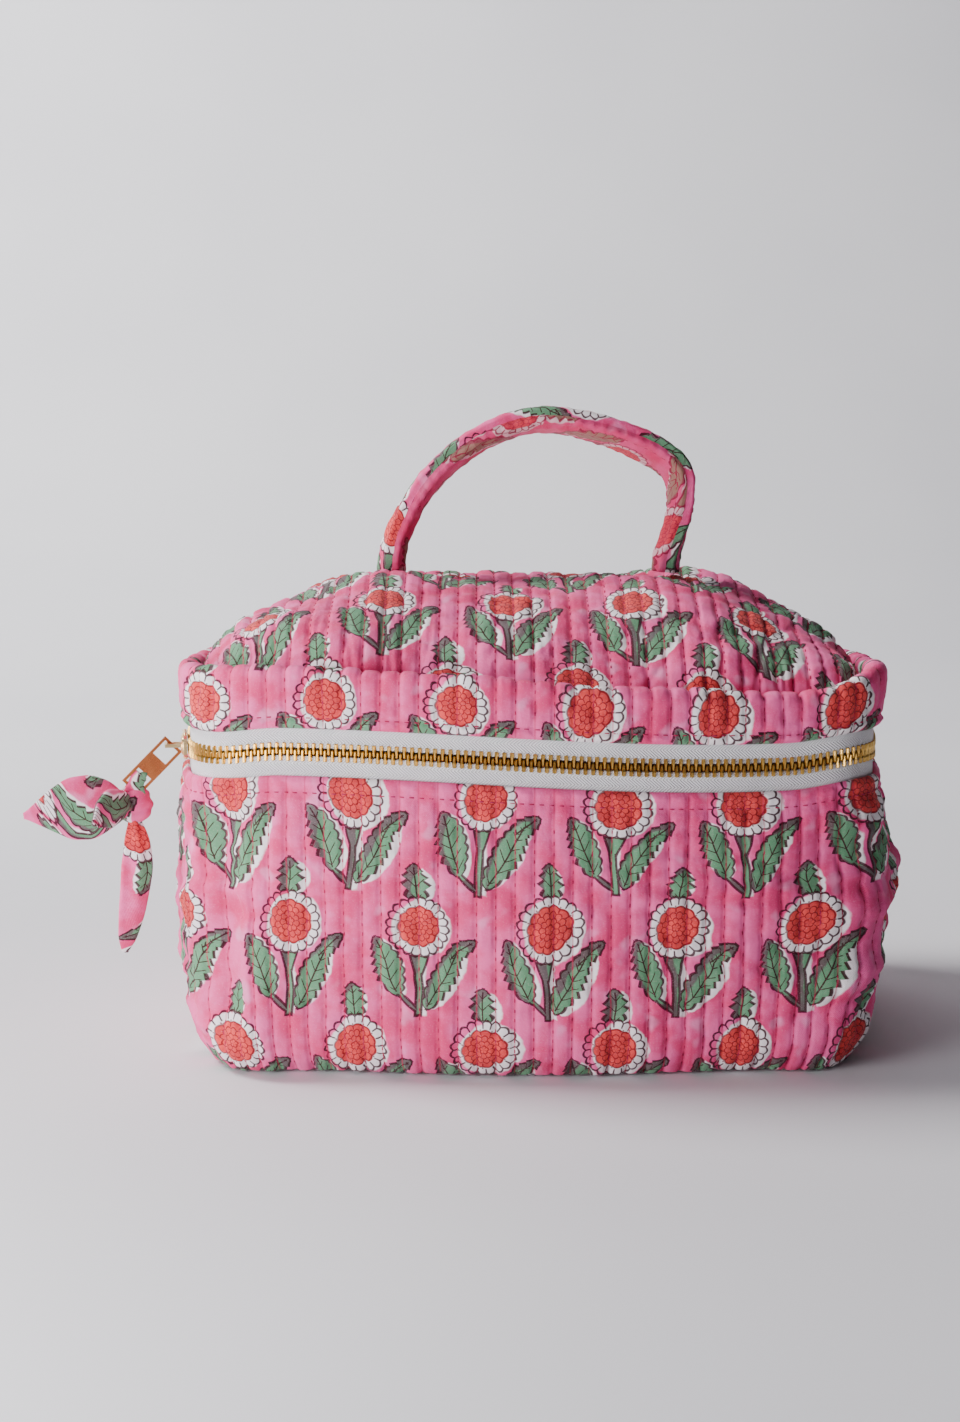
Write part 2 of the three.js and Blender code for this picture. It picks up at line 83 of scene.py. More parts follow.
# ---------- Sizes, from the frame ----------
TAPE_HALF = 0.4
tape_low, tape_high = node_box("lid_top")
WIDTH = tape_high[0] - tape_low[0] - 2 * TAPE_HALF  # of the outline at the middle of the zip tape
DEPTH = tape_high[1] - tape_low[1] - 2 * TAPE_HALF
FRONT_RADIUS = 420.0
SIDE_RADIUS = 260.0
CORNER_RADIUS = 26.0
ZIP_Z = joint("lid_hinge")["pos_m"][2] / MM
LOWER_EDGE = node_box("body_wall")[1][2]
UPPER_EDGE = node_box("lid_band")[0][2]
CAD_RIM_Z = node_box("lid_band")[1][2]
RIM_DROP = 3.0  # from the lid's rim down to the seam of its top panel
CAD_SEAM_Z = CAD_RIM_Z - RIM_DROP
RIDGE_Z = node_box("lid_top")[1][2]
HINGE_Y = joint("lid_hinge")["pos_m"][1] / MM
BACK_SEAM = math.radians(135)  # outward direction of the back seams, from the front's

# ---------- Cloth and print ----------
QUILT_OUTER = 3.7  # from the outline to the outside of the quilting
QUILT_PITCH = 6.35  # between two stitched lines
PUFF = 1.35  # height of the padding between them
STITCHED = QUILT_OUTER - PUFF - 0.2  # from the outline to the stitched lines
COLUMN = 43.4  # the print's repeat across
ROW = 42.0  # and between its staggered rows
WALL_PRINT = np.array([4.9, 54.0])  # where a flower's head is on the wall, along the outline and up
LID_STRIP_PRINT = np.array([17.6, 127.0])  # and on the lid strip


# ---------- Plan outline ----------
def solve_corner():
    c = np.array([WIDTH / 2 - CORNER_RADIUS, DEPTH / 2 - CORNER_RADIUS])
    for _ in range(60):
        side = np.array([c[0] + SIDE_RADIUS - WIDTH / 2, c[1]])
        front = np.array([c[0], c[1] + FRONT_RADIUS - DEPTH / 2])
        errors = [np.linalg.norm(side) - (SIDE_RADIUS - CORNER_RADIUS),
                  np.linalg.norm(front) - (FRONT_RADIUS - CORNER_RADIUS)]
        rows = np.array([side / np.linalg.norm(side), front / np.linalg.norm(front)])
        c -= np.linalg.solve(rows, errors)
    return c


CORNER = solve_corner()
FRONT_LIMIT = math.atan2(CORNER[0], FRONT_RADIUS - DEPTH / 2 + CORNER[1])
SIDE_LIMIT = math.pi / 2 - math.atan2(CORNER[1], SIDE_RADIUS - WIDTH / 2 + CORNER[0])


def outline_at(angle):
    """Points of the outline by outward direction: 0 is the front's middle, pi/2 the right side's."""
    n = np.stack([np.sin(angle), -np.cos(angle)], -1)
    folded = np.arctan2(np.abs(n[..., 0]), np.abs(n[..., 1]))
    front, side = folded <= FRONT_LIMIT, folded >= SIDE_LIMIT
    sign = np.sign(n)
    centre = sign * CORNER
    centre = np.where(front[..., None], sign * [0, DEPTH / 2 - FRONT_RADIUS], centre)
    centre = np.where(side[..., None], sign * [WIDTH / 2 - SIDE_RADIUS, 0], centre)
    radius = np.where(front, FRONT_RADIUS, np.where(side, SIDE_RADIUS, CORNER_RADIUS))
    return centre + n * radius[..., None]


_angles = np.linspace(-math.pi, math.pi, 20001)
_points = outline_at(_angles)
_length = np.concatenate([[0], np.cumsum(np.linalg.norm(np.diff(_points, axis=0), axis=1))])
_length -= np.interp(0, _angles, _length)
PERIMETER = _length[-1] - _length[0]
S_SEAM = float(np.interp(BACK_SEAM, _angles, _length))  # arc length from the front's middle to a back seam


def outline(s, offset):
    """Plan points at arc length s from the front's middle, moved outwards by offset."""
    s = (np.asarray(s, float) + PERIMETER / 2) % PERIMETER - PERIMETER / 2
    angle = np.interp(s, _length, _angles)
    p = np.stack([np.interp(s, _length, _points[:, 0]), np.interp(s, _length, _points[:, 1])], -1)
    n = np.stack([np.sin(angle), -np.cos(angle)], -1)
    return p + n * np.asarray(offset)[..., None]


# ---------- Smooth noise, the same on every run ----------
class Waves:
    """A sum of sine waves with random directions, about -1 to 1, with features about `size` across."""

    def __init__(self, size, seed, count=14, stretch=(1, 1)):
        r = np.random.default_rng(seed)
        turn = r.uniform(0, TAU, count)
        rate = TAU / (size * r.uniform(0.7, 1.9, count))
        self.k = np.stack([np.cos(turn) * rate / stretch[0], np.sin(turn) * rate / stretch[1]], -1)
        self.phase = r.uniform(0, TAU, count)
        self.weight = r.uniform(0.6, 1, count)
        self.weight /= np.sqrt((self.weight**2).sum() / 2) * 1.6

    def __call__(self, a, b):
        total = 0
        for (ka, kb), phase, weight in zip(self.k, self.phase, self.weight):
            total = total + weight * np.sin(ka * a + kb * b + phase)
        return total


def smooth(low, high, x):
    t = np.clip((np.asarray(x, float) - low) / (high - low), 0, 1)
    return t * t * (3 - 2 * t)


def bump(x, centre, width):
    return np.exp(-(((np.asarray(x, float) - centre) / width) ** 2))


# ---------- How the soft bag has settled: the walls, panels, linings, tapes and teeth all take the same warp ---
def warp(p):
    """Moves points of the ideal bag to where the soft bag holds them."""
    x, y, z = p[..., 0], p[..., 1], p[..., 2]
    q = p.copy()
    front = smooth(-20, -60, y)
    zip_zone = smooth(40, 95, z) * (1 - smooth(140, 165, z))
    skew = -2.6 * np.sin(np.clip(x / 78, -1.35, 1.5) * math.pi / 2) * (1 - smooth(84, 112, np.abs(x)))
    q[..., 2] += skew * front * zip_zone
    # the lower front corners stand forward, where the wall is stretched over the base's corners
    low = 1 - smooth(18, 75, z)
    q[..., 1] -= 8 * bump(x, -104, 22) * front * low + 7 * bump(x, 106, 24) * front * low
    q[..., 0] += 2.5 * smooth(70, 112, -x) * (1 - smooth(0, 55, z)) * front
    q[..., 0] -= 3 * smooth(70, 112, x) * (1 - smooth(0, 45, z)) * front
    # a valley down the front left corner, and the side bellying out behind it
    across = x * 0.75 - y * 0.66
    valley = bump(across, -32, 9) * smooth(-89, -106, x)
    valley = valley * smooth(8, 30, z) * (1 - smooth(86, 104, z))
    q[..., 0] += 3.6 * valley
    q[..., 1] += 4.4 * valley
    belly = smooth(10, 45, z) * (1 - smooth(75, 104, z))
    q[..., 0] -= 2.2 * smooth(95, 122, -x) * belly * smooth(-70, -30, y)
    q[..., 0] += 5.6 * smooth(80, 122, x) * belly * bump(z, 60, 30)
    q[..., 1] -= 1.6 * bump(x, 20, 60) * belly * front
    # the back is a little hollow
    q[..., 1] -= 2.0 * smooth(50, 80, y) * bump(x, 0, 70) * belly
    return q


# ---------- Meshes ----------
def make_mesh(name, points, faces, uv=None, smooth_faces=True):
    """An object from points in millimetres, faces and one (u, v) per face corner."""
    mesh = bpy.data.meshes.new(name)
    mesh.from_pydata((np.asarray(points, float) * MM).tolist(), [], [list(map(int, f)) for f in faces])
    if uv is not None:
        layer = mesh.uv_layers.new(name="print")
        layer.data.foreach_set("uv", np.asarray(uv, np.float32).ravel())
    mesh.polygons.foreach_set("use_smooth", [smooth_faces] * len(mesh.polygons))
    mesh.update()
    obj = bpy.data.objects.new(name, mesh)
    bpy.context.collection.objects.link(obj)
    return obj


def shell(name, outer, inner, uv, closed=False):
    """A closed sheet between two grids of points (columns, rows, 3), with uv (columns, rows, 2) for both.
    With closed, the last column joins the first one."""
    columns, rows = outer.shape[:2]
    points = np.concatenate([outer.reshape(-1, 3), inner.reshape(-1, 3)])
    base = columns * rows
    i = np.arange(columns if closed else columns - 1)
    a, b = np.meshgrid(i, np.arange(rows - 1), indexing="ij")
    c = (a + 1) % columns
    quad = np.stack([a * rows + b, c * rows + b, c * rows + b + 1, a * rows + b + 1], -1).reshape(-1, 4)
    faces = [quad, quad[:, ::-1] + base]
    n = (i + 1) % columns
    foot = np.stack([i * rows, base + i * rows, base + n * rows, n * rows], -1)
    head = np.stack([i * rows, n * rows, base + n * rows, base + i * rows], -1) + rows - 1
    faces += [foot, head]
    if not closed:
        j = np.arange(rows - 1)
        first = np.stack([j, j + 1, base + j + 1, base + j], -1)
        last = np.stack([j, base + j, base + j + 1, j + 1], -1) + (columns - 1) * rows
        faces += [first, last]
    faces = np.concatenate(faces)
    flat = np.concatenate([uv.reshape(-1, 2)] * 2)
    corner = flat[faces]
    if closed:  # the seam's last faces end one perimeter on, not back at the start
        span = corner[..., 0].max(1) - corner[..., 0].min(1)
        wrapped = span > PERIMETER / 2
        corner[wrapped, :, 0] += np.where(corner[wrapped, :, 0] < 0, PERIMETER, 0)
    return make_mesh(name, points, faces, corner.reshape(-1, 2))


def quilt_puff(u):
    """Height of the padding between two stitched lines: 0 on a line and 1 half way."""
    across = np.abs(np.sin(math.pi * u / QUILT_PITCH))
    return 1 - (1 - across) ** 2.6


def normals_of(grid, closed=False):
    """Outward normals of a grid of points, from its neighbours."""
    if closed:
        du = np.roll(grid, -1, 0) - np.roll(grid, 1, 0)
    else:
        du = np.gradient(grid, axis=0)
    dv = np.gradient(grid, axis=1)
    n = np.cross(du, dv)
    return n / np.maximum(np.linalg.norm(n, axis=-1, keepdims=True), 1e-9)


def declare(node=None):
    """Hides the CAD node that a piece stands for."""
    if node:
        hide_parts(node)


stitches = {}  # body -> list of (start, end, normal)


def add_stitches(body, line, normal, stitch=1.5, gap=2.2, sink=0.0):
    """Running stitch along a line of points with surface normals."""
    step = np.linalg.norm(np.diff(line, axis=0), axis=1)
    at = np.concatenate([[0], np.cumsum(step)])
    pitch = stitch + gap
    count = int((at[-1] - gap) / pitch)
    r = np.random.default_rng(int(abs(line[0].sum() * 97)) % 100000)
    for k in range(count):
        middle = gap + k * pitch + stitch / 2 + r.uniform(-0.25, 0.25)
        ends = middle - stitch / 2, middle + stitch / 2
        a, b = (np.array([np.interp(e, at, line[:, i]) for i in range(3)]) for e in ends)
        n = np.array([np.interp(middle, at, normal[:, i]) for i in range(3)])
        n /= np.linalg.norm(n)
        stitches.setdefault(body, []).append((a - n * sink, b - n * sink, n))


def build_stitches(body, material, radius=0.24):
    """One mesh with every stitch of a body: short, slightly arched threads."""
    section = [(math.cos(t), math.sin(t)) for t in np.arange(5) * TAU / 5]
    points, faces = [], []
    for a, b, n in stitches[body]:
        d = (b - a) / np.linalg.norm(b - a)
        side = np.cross(d, n)
        up = np.cross(side, d)
        start = len(points)
        points.append(a - up * radius)
        for t, lift in ((0.14, 0.25), (0.5, 0.62), (0.86, 0.25)):
            centre = a + (b - a) * t + up * radius * lift
            points += [centre + (side * cx + up * cy) * radius for cx, cy in section]
        points.append(b - up * radius)
        last = len(points) - 1
        for k in range(5):
            m = (k + 1) % 5
            faces.append((start, start + 1 + m, start + 1 + k))
            for ring in range(2):
                o = start + 1 + ring * 5
                faces.append((o + k, o + m, o + 5 + m, o + 5 + k))
            faces.append((last, start + 11 + k, start + 11 + m))
    obj = make_mesh(f"{body}_stitching", points, faces)
    obj.data.materials.append(material)
    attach(obj, body)
    return obj


# ---------- Shader arithmetic ----------
class Value:
    """One number in a node tree, with arithmetic that adds Math nodes."""

    def __init__(self, tree, socket):
        self.tree, self.socket = tree, socket

    def op(self, operation, *others):
        node = self.tree.nodes.new("ShaderNodeMath")
        node.operation = operation
        for slot, value in zip(node.inputs, (self, *others)):
            if isinstance(value, Value):
                self.tree.links.new(value.socket, slot)
            else:
                slot.default_value = value
        return Value(self.tree, node.outputs[0])

    def __add__(self, other):
        return self.op("ADD", other)

    def __sub__(self, other):
        return self.op("SUBTRACT", other)

    def __mul__(self, other):
        return self.op("MULTIPLY", other)

    def __truediv__(self, other):
        return self.op("DIVIDE", other)

    def __neg__(self):
        return self.op("MULTIPLY", -1.0)

    def __rsub__(self, other):
        return (-self) + other

    __radd__ = __add__
    __rmul__ = __mul__

    def abs(self):
        return self.op("ABSOLUTE")

    def power(self, exponent):
        return self.op("POWER", exponent)

    def sin(self):
        return self.op("SINE")

    def fraction(self):
        return self.op("FRACT")

    def least(self, other):
        return self.op("MINIMUM", other)

    def most(self, other):
        return self.op("MAXIMUM", other)

    def step(self, low, high):
        """0 below low and 1 above high, smoothly."""
        node = self.tree.nodes.new("ShaderNodeMapRange")
        node.interpolation_type = "SMOOTHSTEP"
        self.tree.links.new(self.socket, node.inputs["Value"])
        node.inputs["From Min"].default_value, node.inputs["From Max"].default_value = low, high
        return Value(self.tree, node.outputs["Result"])

    def line(self, half):
        """1 where the value is within half of 0."""
        return 1 - self.abs().step(half * 0.7, half * 1.3)


def mix(tree, amount, under, over):
    """The colour socket of over on under. Colours are sockets or (r, g, b)."""
    node = tree.nodes.new("ShaderNodeMix")
    node.data_type = "RGBA"
    if isinstance(amount, Value):
        tree.links.new(amount.socket, node.inputs["Factor"])
    else:
        node.inputs["Factor"].default_value = amount
    for slot, colour in ((node.inputs["A"], under), (node.inputs["B"], over)):
        if isinstance(colour, tuple):
            slot.default_value = (*colour, 1)
        else:
            tree.links.new(colour, slot)
    return next(o for o in node.outputs if o.type == "RGBA")


def rgb(r, g, b):
    """An 8-bit sRGB colour as linear light."""
    c = [v / 255 for v in (r, g, b)]
    return tuple(v / 12.92 if v <= 0.04045 else ((v + 0.055) / 1.055) ** 2.4 for v in c)


def noise(tree, vector, scale, detail=2.0, roughness=0.5):
    node = tree.nodes.new("ShaderNodeTexNoise")
    tree.links.new(vector, node.inputs["Vector"])
    node.inputs["Scale"].default_value = scale
    node.inputs["Detail"].default_value = detail
    node.inputs["Roughness"].default_value = roughness
    return Value(tree, node.outputs[0])


# ---------- The block print ----------
INK_OUTLINE = rgb(58, 14, 26)
INK_LEAF = rgb(58, 164, 104)
INK_RED = rgb(236, 54, 50)
INK_RED_DEEP = rgb(206, 28, 36)
WHITE_COTTON = rgb(246, 243, 244)
GROUND = rgb(246, 100, 163)
GROUND_DEEP = rgb(226, 60, 118)
STITCH = rgb(176, 26, 66)


def leaf(x, y, base, turn, length, half_width, curl=0.0, teeth=0.0, toothed=0):
    """How far inside a leaf (x, y) is, in millimetres, with the distances along and across it.
    toothed is the side with teeth: 1 or -1, or 0 for both."""
    c, s = math.cos(turn), math.sin(turn)
    dx, dy = x - base[0], y - base[1]
    along = dx * c + dy * s
    t = (along / length).most(0.0).least(1.0)
    across = dy * c - dx * s - t * t * (curl * length)
    width = t.power(0.62) * (1 - t).power(0.7) * (2.35 * half_width)
    if teeth:
        saw = ((along - across.abs() * 0.7) * (1 / 3.1)).fraction() * teeth
        if toothed:
            side = (across * toothed).step(-0.4, 0.6)
            width = width + ((along * 0.95).sin().abs() - 0.5) * (1 - side) * 0.8
            saw = saw * side
        width = width * (1 - saw) + saw * 1.2
    inside = (width - across.abs()).least(along).least(length - along)
    return inside, along, across


def flower_group():
    """Draws one flower over a colour, at x and y millimetres from the middle of its head."""
    tree = bpy.data.node_groups.new("flower", "ShaderNodeTree")
    face = tree.interface
    face.new_socket("Under", in_out="INPUT", socket_type="NodeSocketColor")
    for name in ("X", "Y", "Blotch", "Slip"):
        face.new_socket(name, in_out="INPUT", socket_type="NodeSocketFloat")
    face.new_socket("Colour", in_out="OUTPUT", socket_type="NodeSocketColor")
    entry, out = tree.nodes.new("NodeGroupInput"), tree.nodes.new("NodeGroupOutput")
    x, y, blotch, slip = (Value(tree, entry.outputs[k]) for k in ("X", "Y", "Blotch", "Slip"))
    radius = (x * x + y * y).power(0.5)
    angle = y.op("ARCTAN2", x)

    # the ground block leaves the motif white, a little to the right of where the other blocks print it
    wx, wy = x - slip, y + slip * 0.35
    white = 10.2 - (wx * wx + wy * wy).power(0.5)
    white = white.most((1.3 - (wx + 0.6).abs()).least(-wy - 8).least(wy + 30))
    for base, turn, length, half_width in (((-6.6, -24.8), 108, 22, 4.4), ((1.8, -28.0), 60, 25, 4.5),
                                           ((0.2, 8.5), 88, 12.5, 3.9)):
        white = white.most(leaf(wx, wy, base, math.radians(turn), length, half_width)[0])
    colour = entry.outputs["Under"]
    colour = mix(tree, (white + (blotch - 0.5) * 3.0).step(-0.4, 0.4) * 0.93, colour, WHITE_COTTON)

    # the green block's thin ink lets the ground show: green on white, mauve on pink
    crown = leaf(x, y, (0.0, 8.0), math.radians(90), 13.5, 5.0, 0.0, 0.6)
    left = leaf(x, y, (-6.8, -24.5), math.radians(108), 22.0, 5.1, 0.04, 0.5, 1)
    right = leaf(x, y, (1.8, -28.5), math.radians(59), 24.5, 4.7, 0.03, 0.5, -1)
    tip = leaf(x, y, (9.2, -12.5), math.radians(46), 12.0, 3.4, -0.10, 0.5)
    stalk = leaf(x, y, (-0.2, -30.0), math.radians(137), 10.5, 0.95)
    stem = (1.0 - (x + 0.6 - (y * 0.2).sin() * 0.25).abs()).least(-y - 9).least(y + 31)
    calyx = (2.9 - (x + 0.4).abs() + (y + 10.5) * 0.32).least(-y - 10.2).least(y + 16.4)
    shapes = (crown[0], left[0], right[0], tip[0], stalk[0], stem, calyx)
    green = shapes[0]
    for inside in shapes[1:]:
        green = green.most(inside)
    green = green.least(radius - 10.3)
    ink = tree.nodes.new("ShaderNodeMix")
    ink.data_type = "RGBA"
    ink.blend_type = "MULTIPLY"
    fill = (green + x * 0.02 + 0.1).step(0, 0.5) * (0.86 + blotch * 0.2).least(1.0)
    tree.links.new(fill.socket, ink.inputs["Factor"])
    tree.links.new(colour, ink.inputs["A"])
    ink.inputs["B"].default_value = (*INK_LEAF, 1)
    colour = next(o for o in ink.outputs if o.type == "RGBA")
    colour = mix(tree, fill * 0.30, colour, (0.27, 0.25, 0.22))

    # the key block's fine dark lines
    drawn = green.line(0.42)
    for inside, along, across in (crown, left, right, tip):
        vein = (((along - across.abs() * 1.0) * (1 / 3.9)).fraction() - 0.5).line(0.06)
        vein = vein * across.abs().op("MULTIPLY", -1.0).step(-3.4, -2.6)
        vein = vein.most(across.line(0.26)) * inside.step(0.9, 1.4)
        drawn = drawn.most(vein)
    scallop = (angle * 10).sin().abs()
    head = scallop * 0.95 + 9.75 - radius
    drawn = drawn * (radius - 9.9).step(0, 0.4)
    drawn = drawn.most(head.line(0.4))
    petals = (angle * 10).sin().line(0.3) * (radius - 7.6).step(0, 0.4) * head.step(-0.2, 0.4)
    drawn = drawn.most(petals)
    colour = mix(tree, drawn * 0.94, colour, INK_OUTLINE)
    rosette = (angle * 5.5).sin().abs() * 0.6 + 6.7 - radius
    red = mix(tree, blotch.step(0.35, 0.65), INK_RED, INK_RED_DEEP)
    colour = mix(tree, (rosette + 0.25 + x * 0.04).step(-0.1, 0.3) * 0.96, colour, red)
    lines = rosette.line(0.3)
    for ring, lobes, depth in ((1.1, 2.5, 0.4), (2.8, 4.5, 0.6), (4.7, 6.5, 0.7)):
        wave = (angle * lobes + ring).sin()
        edge = wave.abs() * depth + ring - radius
        spoke = wave.line(0.2) * (ring + 0.2 - radius).step(-0.1, 0.2) * (radius - ring + 1.5).step(0, 0.3)
        lines = lines.most(edge.line(0.2)).most(spoke)
    spoke = (angle * 5.5).sin().line(0.2) * (radius - 5.2).step(0, 0.3)
    lines = lines.most(spoke)
    colour = mix(tree, lines * (7.8 - radius).step(0, 0.3) * 0.82, colour, rgb(120, 8, 22))
    tree.links.new(colour, out.inputs["Colour"])
    return tree


FLOWER = flower_group()


def principled(material):
    return next(n for n in material.node_tree.nodes if n.type == "BSDF_PRINCIPLED")


def new_material(name, roughness=0.85, sheen=0.0, metallic=0.0):
    material = bpy.data.materials.new(name)
    material.use_nodes = True
    shader = principled(material)
    shader.inputs["Roughness"].default_value = roughness
    shader.inputs["Metallic"].default_value = metallic
    shader.inputs["Sheen Weight"].default_value = sheen
    shader.inputs["Sheen Roughness"].default_value = 0.4
    shader.inputs["Specular IOR Level"].default_value = 0.25
    return material


def bumped(material, height, distance, strength=1.0):
    tree = material.node_tree
    node = tree.nodes.new("ShaderNodeBump")
    node.inputs["Distance"].default_value = distance
    node.inputs["Strength"].default_value = strength
    tree.links.new(height.socket, node.inputs["Height"])
    tree.links.new(node.outputs["Normal"], principled(material).inputs["Normal"])


def millimetres(tree):
    """The print map's coordinates in millimetres, and the vector they make."""
    node = tree.nodes.new("ShaderNodeUVMap")
    node.uv_map = "print"
    split = tree.nodes.new("ShaderNodeSeparateXYZ")
    tree.links.new(node.outputs[0], split.inputs[0])
    return Value(tree, split.outputs[0]), Value(tree, split.outputs[1]), node.outputs[0]


def weave_height(u, v, pitch):
    """Plain weave: over and under threads."""
    a = (u * (TAU / pitch)).sin()
    b = (v * (TAU / pitch)).sin()
    return (a * b) * 0.5 + 0.5


def print_material(name, shade_tint=(1, 1, 1), dark=0.0, shift=(0.0, 0.0), stitched_at=None):
    """Pink cotton printed with flowers in staggered rows. Its map is in millimetres."""
    material = new_material(name, 0.88, sheen=0.12)
    tree = material.node_tree
    u, v, vector = millimetres(tree)
    wobble = noise(tree, vector, 0.035, 1.0)
    plain_u = u
    second = noise(tree, vector, 0.023, 1.0)
    u = u + (wobble * 7.0 - 3.5) + shift[0]
    v = v + (second * 7.0 - 3.5) + shift[1]
    blotch = noise(tree, vector, 0.16, 3.0, 0.6)
    slip = noise(tree, vector, 0.013, 1.0).step(0.3, 0.7) * 2.2 + 0.3
    patches = noise(tree, vector, 0.07, 2.0)
    ground = mix(tree, (patches * 1.3 + blotch * 0.5 - 0.35).step(0.35, 0.75), GROUND, GROUND_DEEP)
    pale = noise(tree, vector, 0.11, 1.0)
    ground = mix(tree, pale.step(0.6, 0.75) * 0.45, ground, rgb(246, 168, 212))
    colour = ground
    for stagger in (1, 0):
        x = ((u * (1 / COLUMN) + 0.5 * stagger + 0.5).fraction() - 0.5) * COLUMN
        y = ((v * (0.5 / ROW) + 0.5 * stagger + 0.583).fraction() - 0.583) * (2 * ROW)
        group = tree.nodes.new("ShaderNodeGroup")
        group.node_tree = FLOWER
        tree.links.new(colour, group.inputs["Under"])
        for key, value in (("X", x), ("Y", y), ("Blotch", blotch), ("Slip", slip)):
            tree.links.new(value.socket, group.inputs[key])
        colour = group.outputs["Colour"]
    # the ink lies thinly and unevenly on the threads
    speckle = noise(tree, vector, 1.7, 2.0).step(0.55, 0.75) * 0.16
    colour = mix(tree, speckle, colour, rgb(248, 190, 212))
    # painted shade in each stitched channel: the print is darkened along the stitched lines, where the fold
    # falls into shadow
    if stitched_at is not None:
        groove = ((plain_u + stitched_at) * (math.pi / QUILT_PITCH)).sin().abs()
        colour = mix(tree, (1 - groove.step(0.0, 0.22)) * 0.5, colour, rgb(206, 44, 88))
    # painted shade: a darker, redder copy of the print, for faces that lie in shade
    if dark:
        colour = mix(tree, dark, colour, shade_tint)
    tree.links.new(colour, principled(material).inputs["Base Color"])
    slub = noise(tree, vector, 0.9, 3.0, 0.65)
    bumped(material, weave_height(u, v, 0.62) * 0.25 + slub, 0.00045, 0.7)
    return material


def plain_cloth(name, colour, deeper, pitch=0.6, roughness=0.9, sheen=0.1, herringbone=False):
    material = new_material(name, roughness, sheen)
    tree = material.node_tree
    u, v, vector = millimetres(tree)
    tone = noise(tree, vector, 0.12, 3.0, 0.6)
    if herringbone:  # diagonal ribs that turn back every few millimetres
        fold = ((v * (1 / 5.0)).fraction() - 0.5).abs() * 5.0
        ribs = ((u + fold * 1.2) * (TAU / 1.15)).sin() * 0.5 + 0.5
        height = ribs + noise(tree, vector, 3.0) * 0.5
        # painted shade: the troughs between the ribs are coloured darker, mixed with a random tone
        shade = mix(tree, (ribs * 0.55 + tone * 0.5).step(0.1, 0.95), deeper, colour)
        bumped(material, height, 0.00035, 0.9)
    else:
        shade = mix(tree, tone.step(0.3, 0.7), colour, deeper)
        bumped(material, weave_height(u, v, pitch) * 0.6 + noise(tree, vector, 1.1, 3.0), 0.0003, 0.5)
    tree.links.new(shade, principled(material).inputs["Base Color"])
    return material


def metal(name, colour, roughness, worn):
    """Plated metal with fine scratches and handling marks."""
    material = new_material(name, roughness, metallic=1.0)
    tree = material.node_tree
    place = tree.nodes.new("ShaderNodeTexCoord").outputs["Object"]
    scratch = noise(tree, place, 900.0, 3.0, 0.7)
    smudge = noise(tree, place, 160.0, 2.0)
    shade = mix(tree, smudge.step(0.35, 0.75) * 0.6, colour, worn)
    tree.links.new(shade, principled(material).inputs["Base Color"])
    rough = scratch * 0.16 + smudge * 0.14 + (roughness - 0.12)
    tree.links.new(rough.socket, principled(material).inputs["Roughness"])
    bumped(material, scratch, 0.00006, 0.4)
    return material


# the quilted print carries painted shade along its stitched channels
PRINT = print_material("quilted_print", stitched_at=WALL_PRINT[0])
PRINT_BOW = print_material("cotton_print", shift=(9.0, 16.0))
PRINT_STRAP = print_material("strap_print", shift=(3.0, 20.0))
# the strap's inner faces, shaded under the arch, get the print with painted shade
STRAP_SHADED_INNER = print_material("strap_inner_shaded", shade_tint=rgb(204, 44, 88), dark=0.45, shift=(14.0, 2.0))
LINING = plain_cloth("lining_cotton", rgb(240, 176, 196), rgb(228, 150, 176))
BINDING = plain_cloth("binding_cotton", rgb(226, 100, 140), rgb(206, 76, 118))
TAPE = plain_cloth("zip_tape", rgb(250, 249, 250), rgb(212, 209, 214), herringbone=True)
BRASS = metal("zip_brass", rgb(214, 172, 92), 0.30, rgb(176, 132, 66))
GOLD = metal("slider_gold", rgb(238, 210, 160), 0.26, rgb(214, 176, 120))
COPPER = metal("pull_copper", rgb(222, 132, 82), 0.22, rgb(190, 98, 62))
THREAD = plain_cloth("quilting_thread", STITCH, rgb(170, 48, 92), 0.4)


# ---------- Swept cloth: wall, strips, tapes and linings ----------
S45 = float(np.interp(math.pi / 4, _angles, _length))  # arc length to the middle of a front corner
SIDE_S = float(np.interp(math.pi / 2, _angles, _length))  # and to the middle of a side


def rows_between(low, high, step, edge=2.4, fine=0.4):
    """Row positions from low to high, closer together near both ends."""
    middle = np.linspace(low + edge, high - edge, max(2, int((high - low - 2 * edge) / step) + 1))
    ends = np.arange(0, edge, fine)
    return np.concatenate([low + ends, middle, (high - ends)[::-1]])


def edge_round(distance, radius):
    """How far a face falls back within radius of an edge, as a fraction of the radius."""
    t = np.clip(1 - distance / radius, 0, 1)
    return 1 - np.sqrt(np.maximum(0, 1 - t * t))


def lengths_along(grid):
    """Distance along each column of a grid of points from its first row."""
    step = np.linalg.norm(np.diff(grid, axis=1), axis=-1)
    return np.concatenate([np.zeros((len(grid), 1)), np.cumsum(step, 1)], 1)


def swept(name, s, offset, z, uv, puff, thickness, material, body, closed=False, inner_material=None):
    """A cloth shell whose stitched surface has these offsets and heights, with puff raising its outside."""
    base = warp(np.concatenate([outline(s[:, None] + 0 * offset, offset), z[..., None]], -1))
    normal = normals_of(base, closed)
    along = lengths_along(base)
    distance = np.minimum(along, along[:, -1:] - along)
    if not closed:
        distance = np.minimum(distance, np.minimum(s - s[0], s[-1] - s)[:, None] + 0.3)
    fall = edge_round(distance, thickness * 0.75) * thickness * 0.48
    puff = puff * smooth(0, 2.2, distance)
    outer = base + normal * (puff - fall)[..., None]
    inner = base - normal * (thickness - fall)[..., None]
    obj = shell(name, outer, inner, uv, closed)
    obj.data.materials.append(material)
    if inner_material:
        obj.data.materials.append(inner_material)
        quads = (len(s) if closed else len(s) - 1) * (z.shape[1] - 1)
        index = np.zeros(len(obj.data.polygons), np.int32)
        index[quads:2 * quads] = 1
        obj.data.polygons.foreach_set("material_index", index)
    if body:
        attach(obj, body)
    return obj, outer, normal


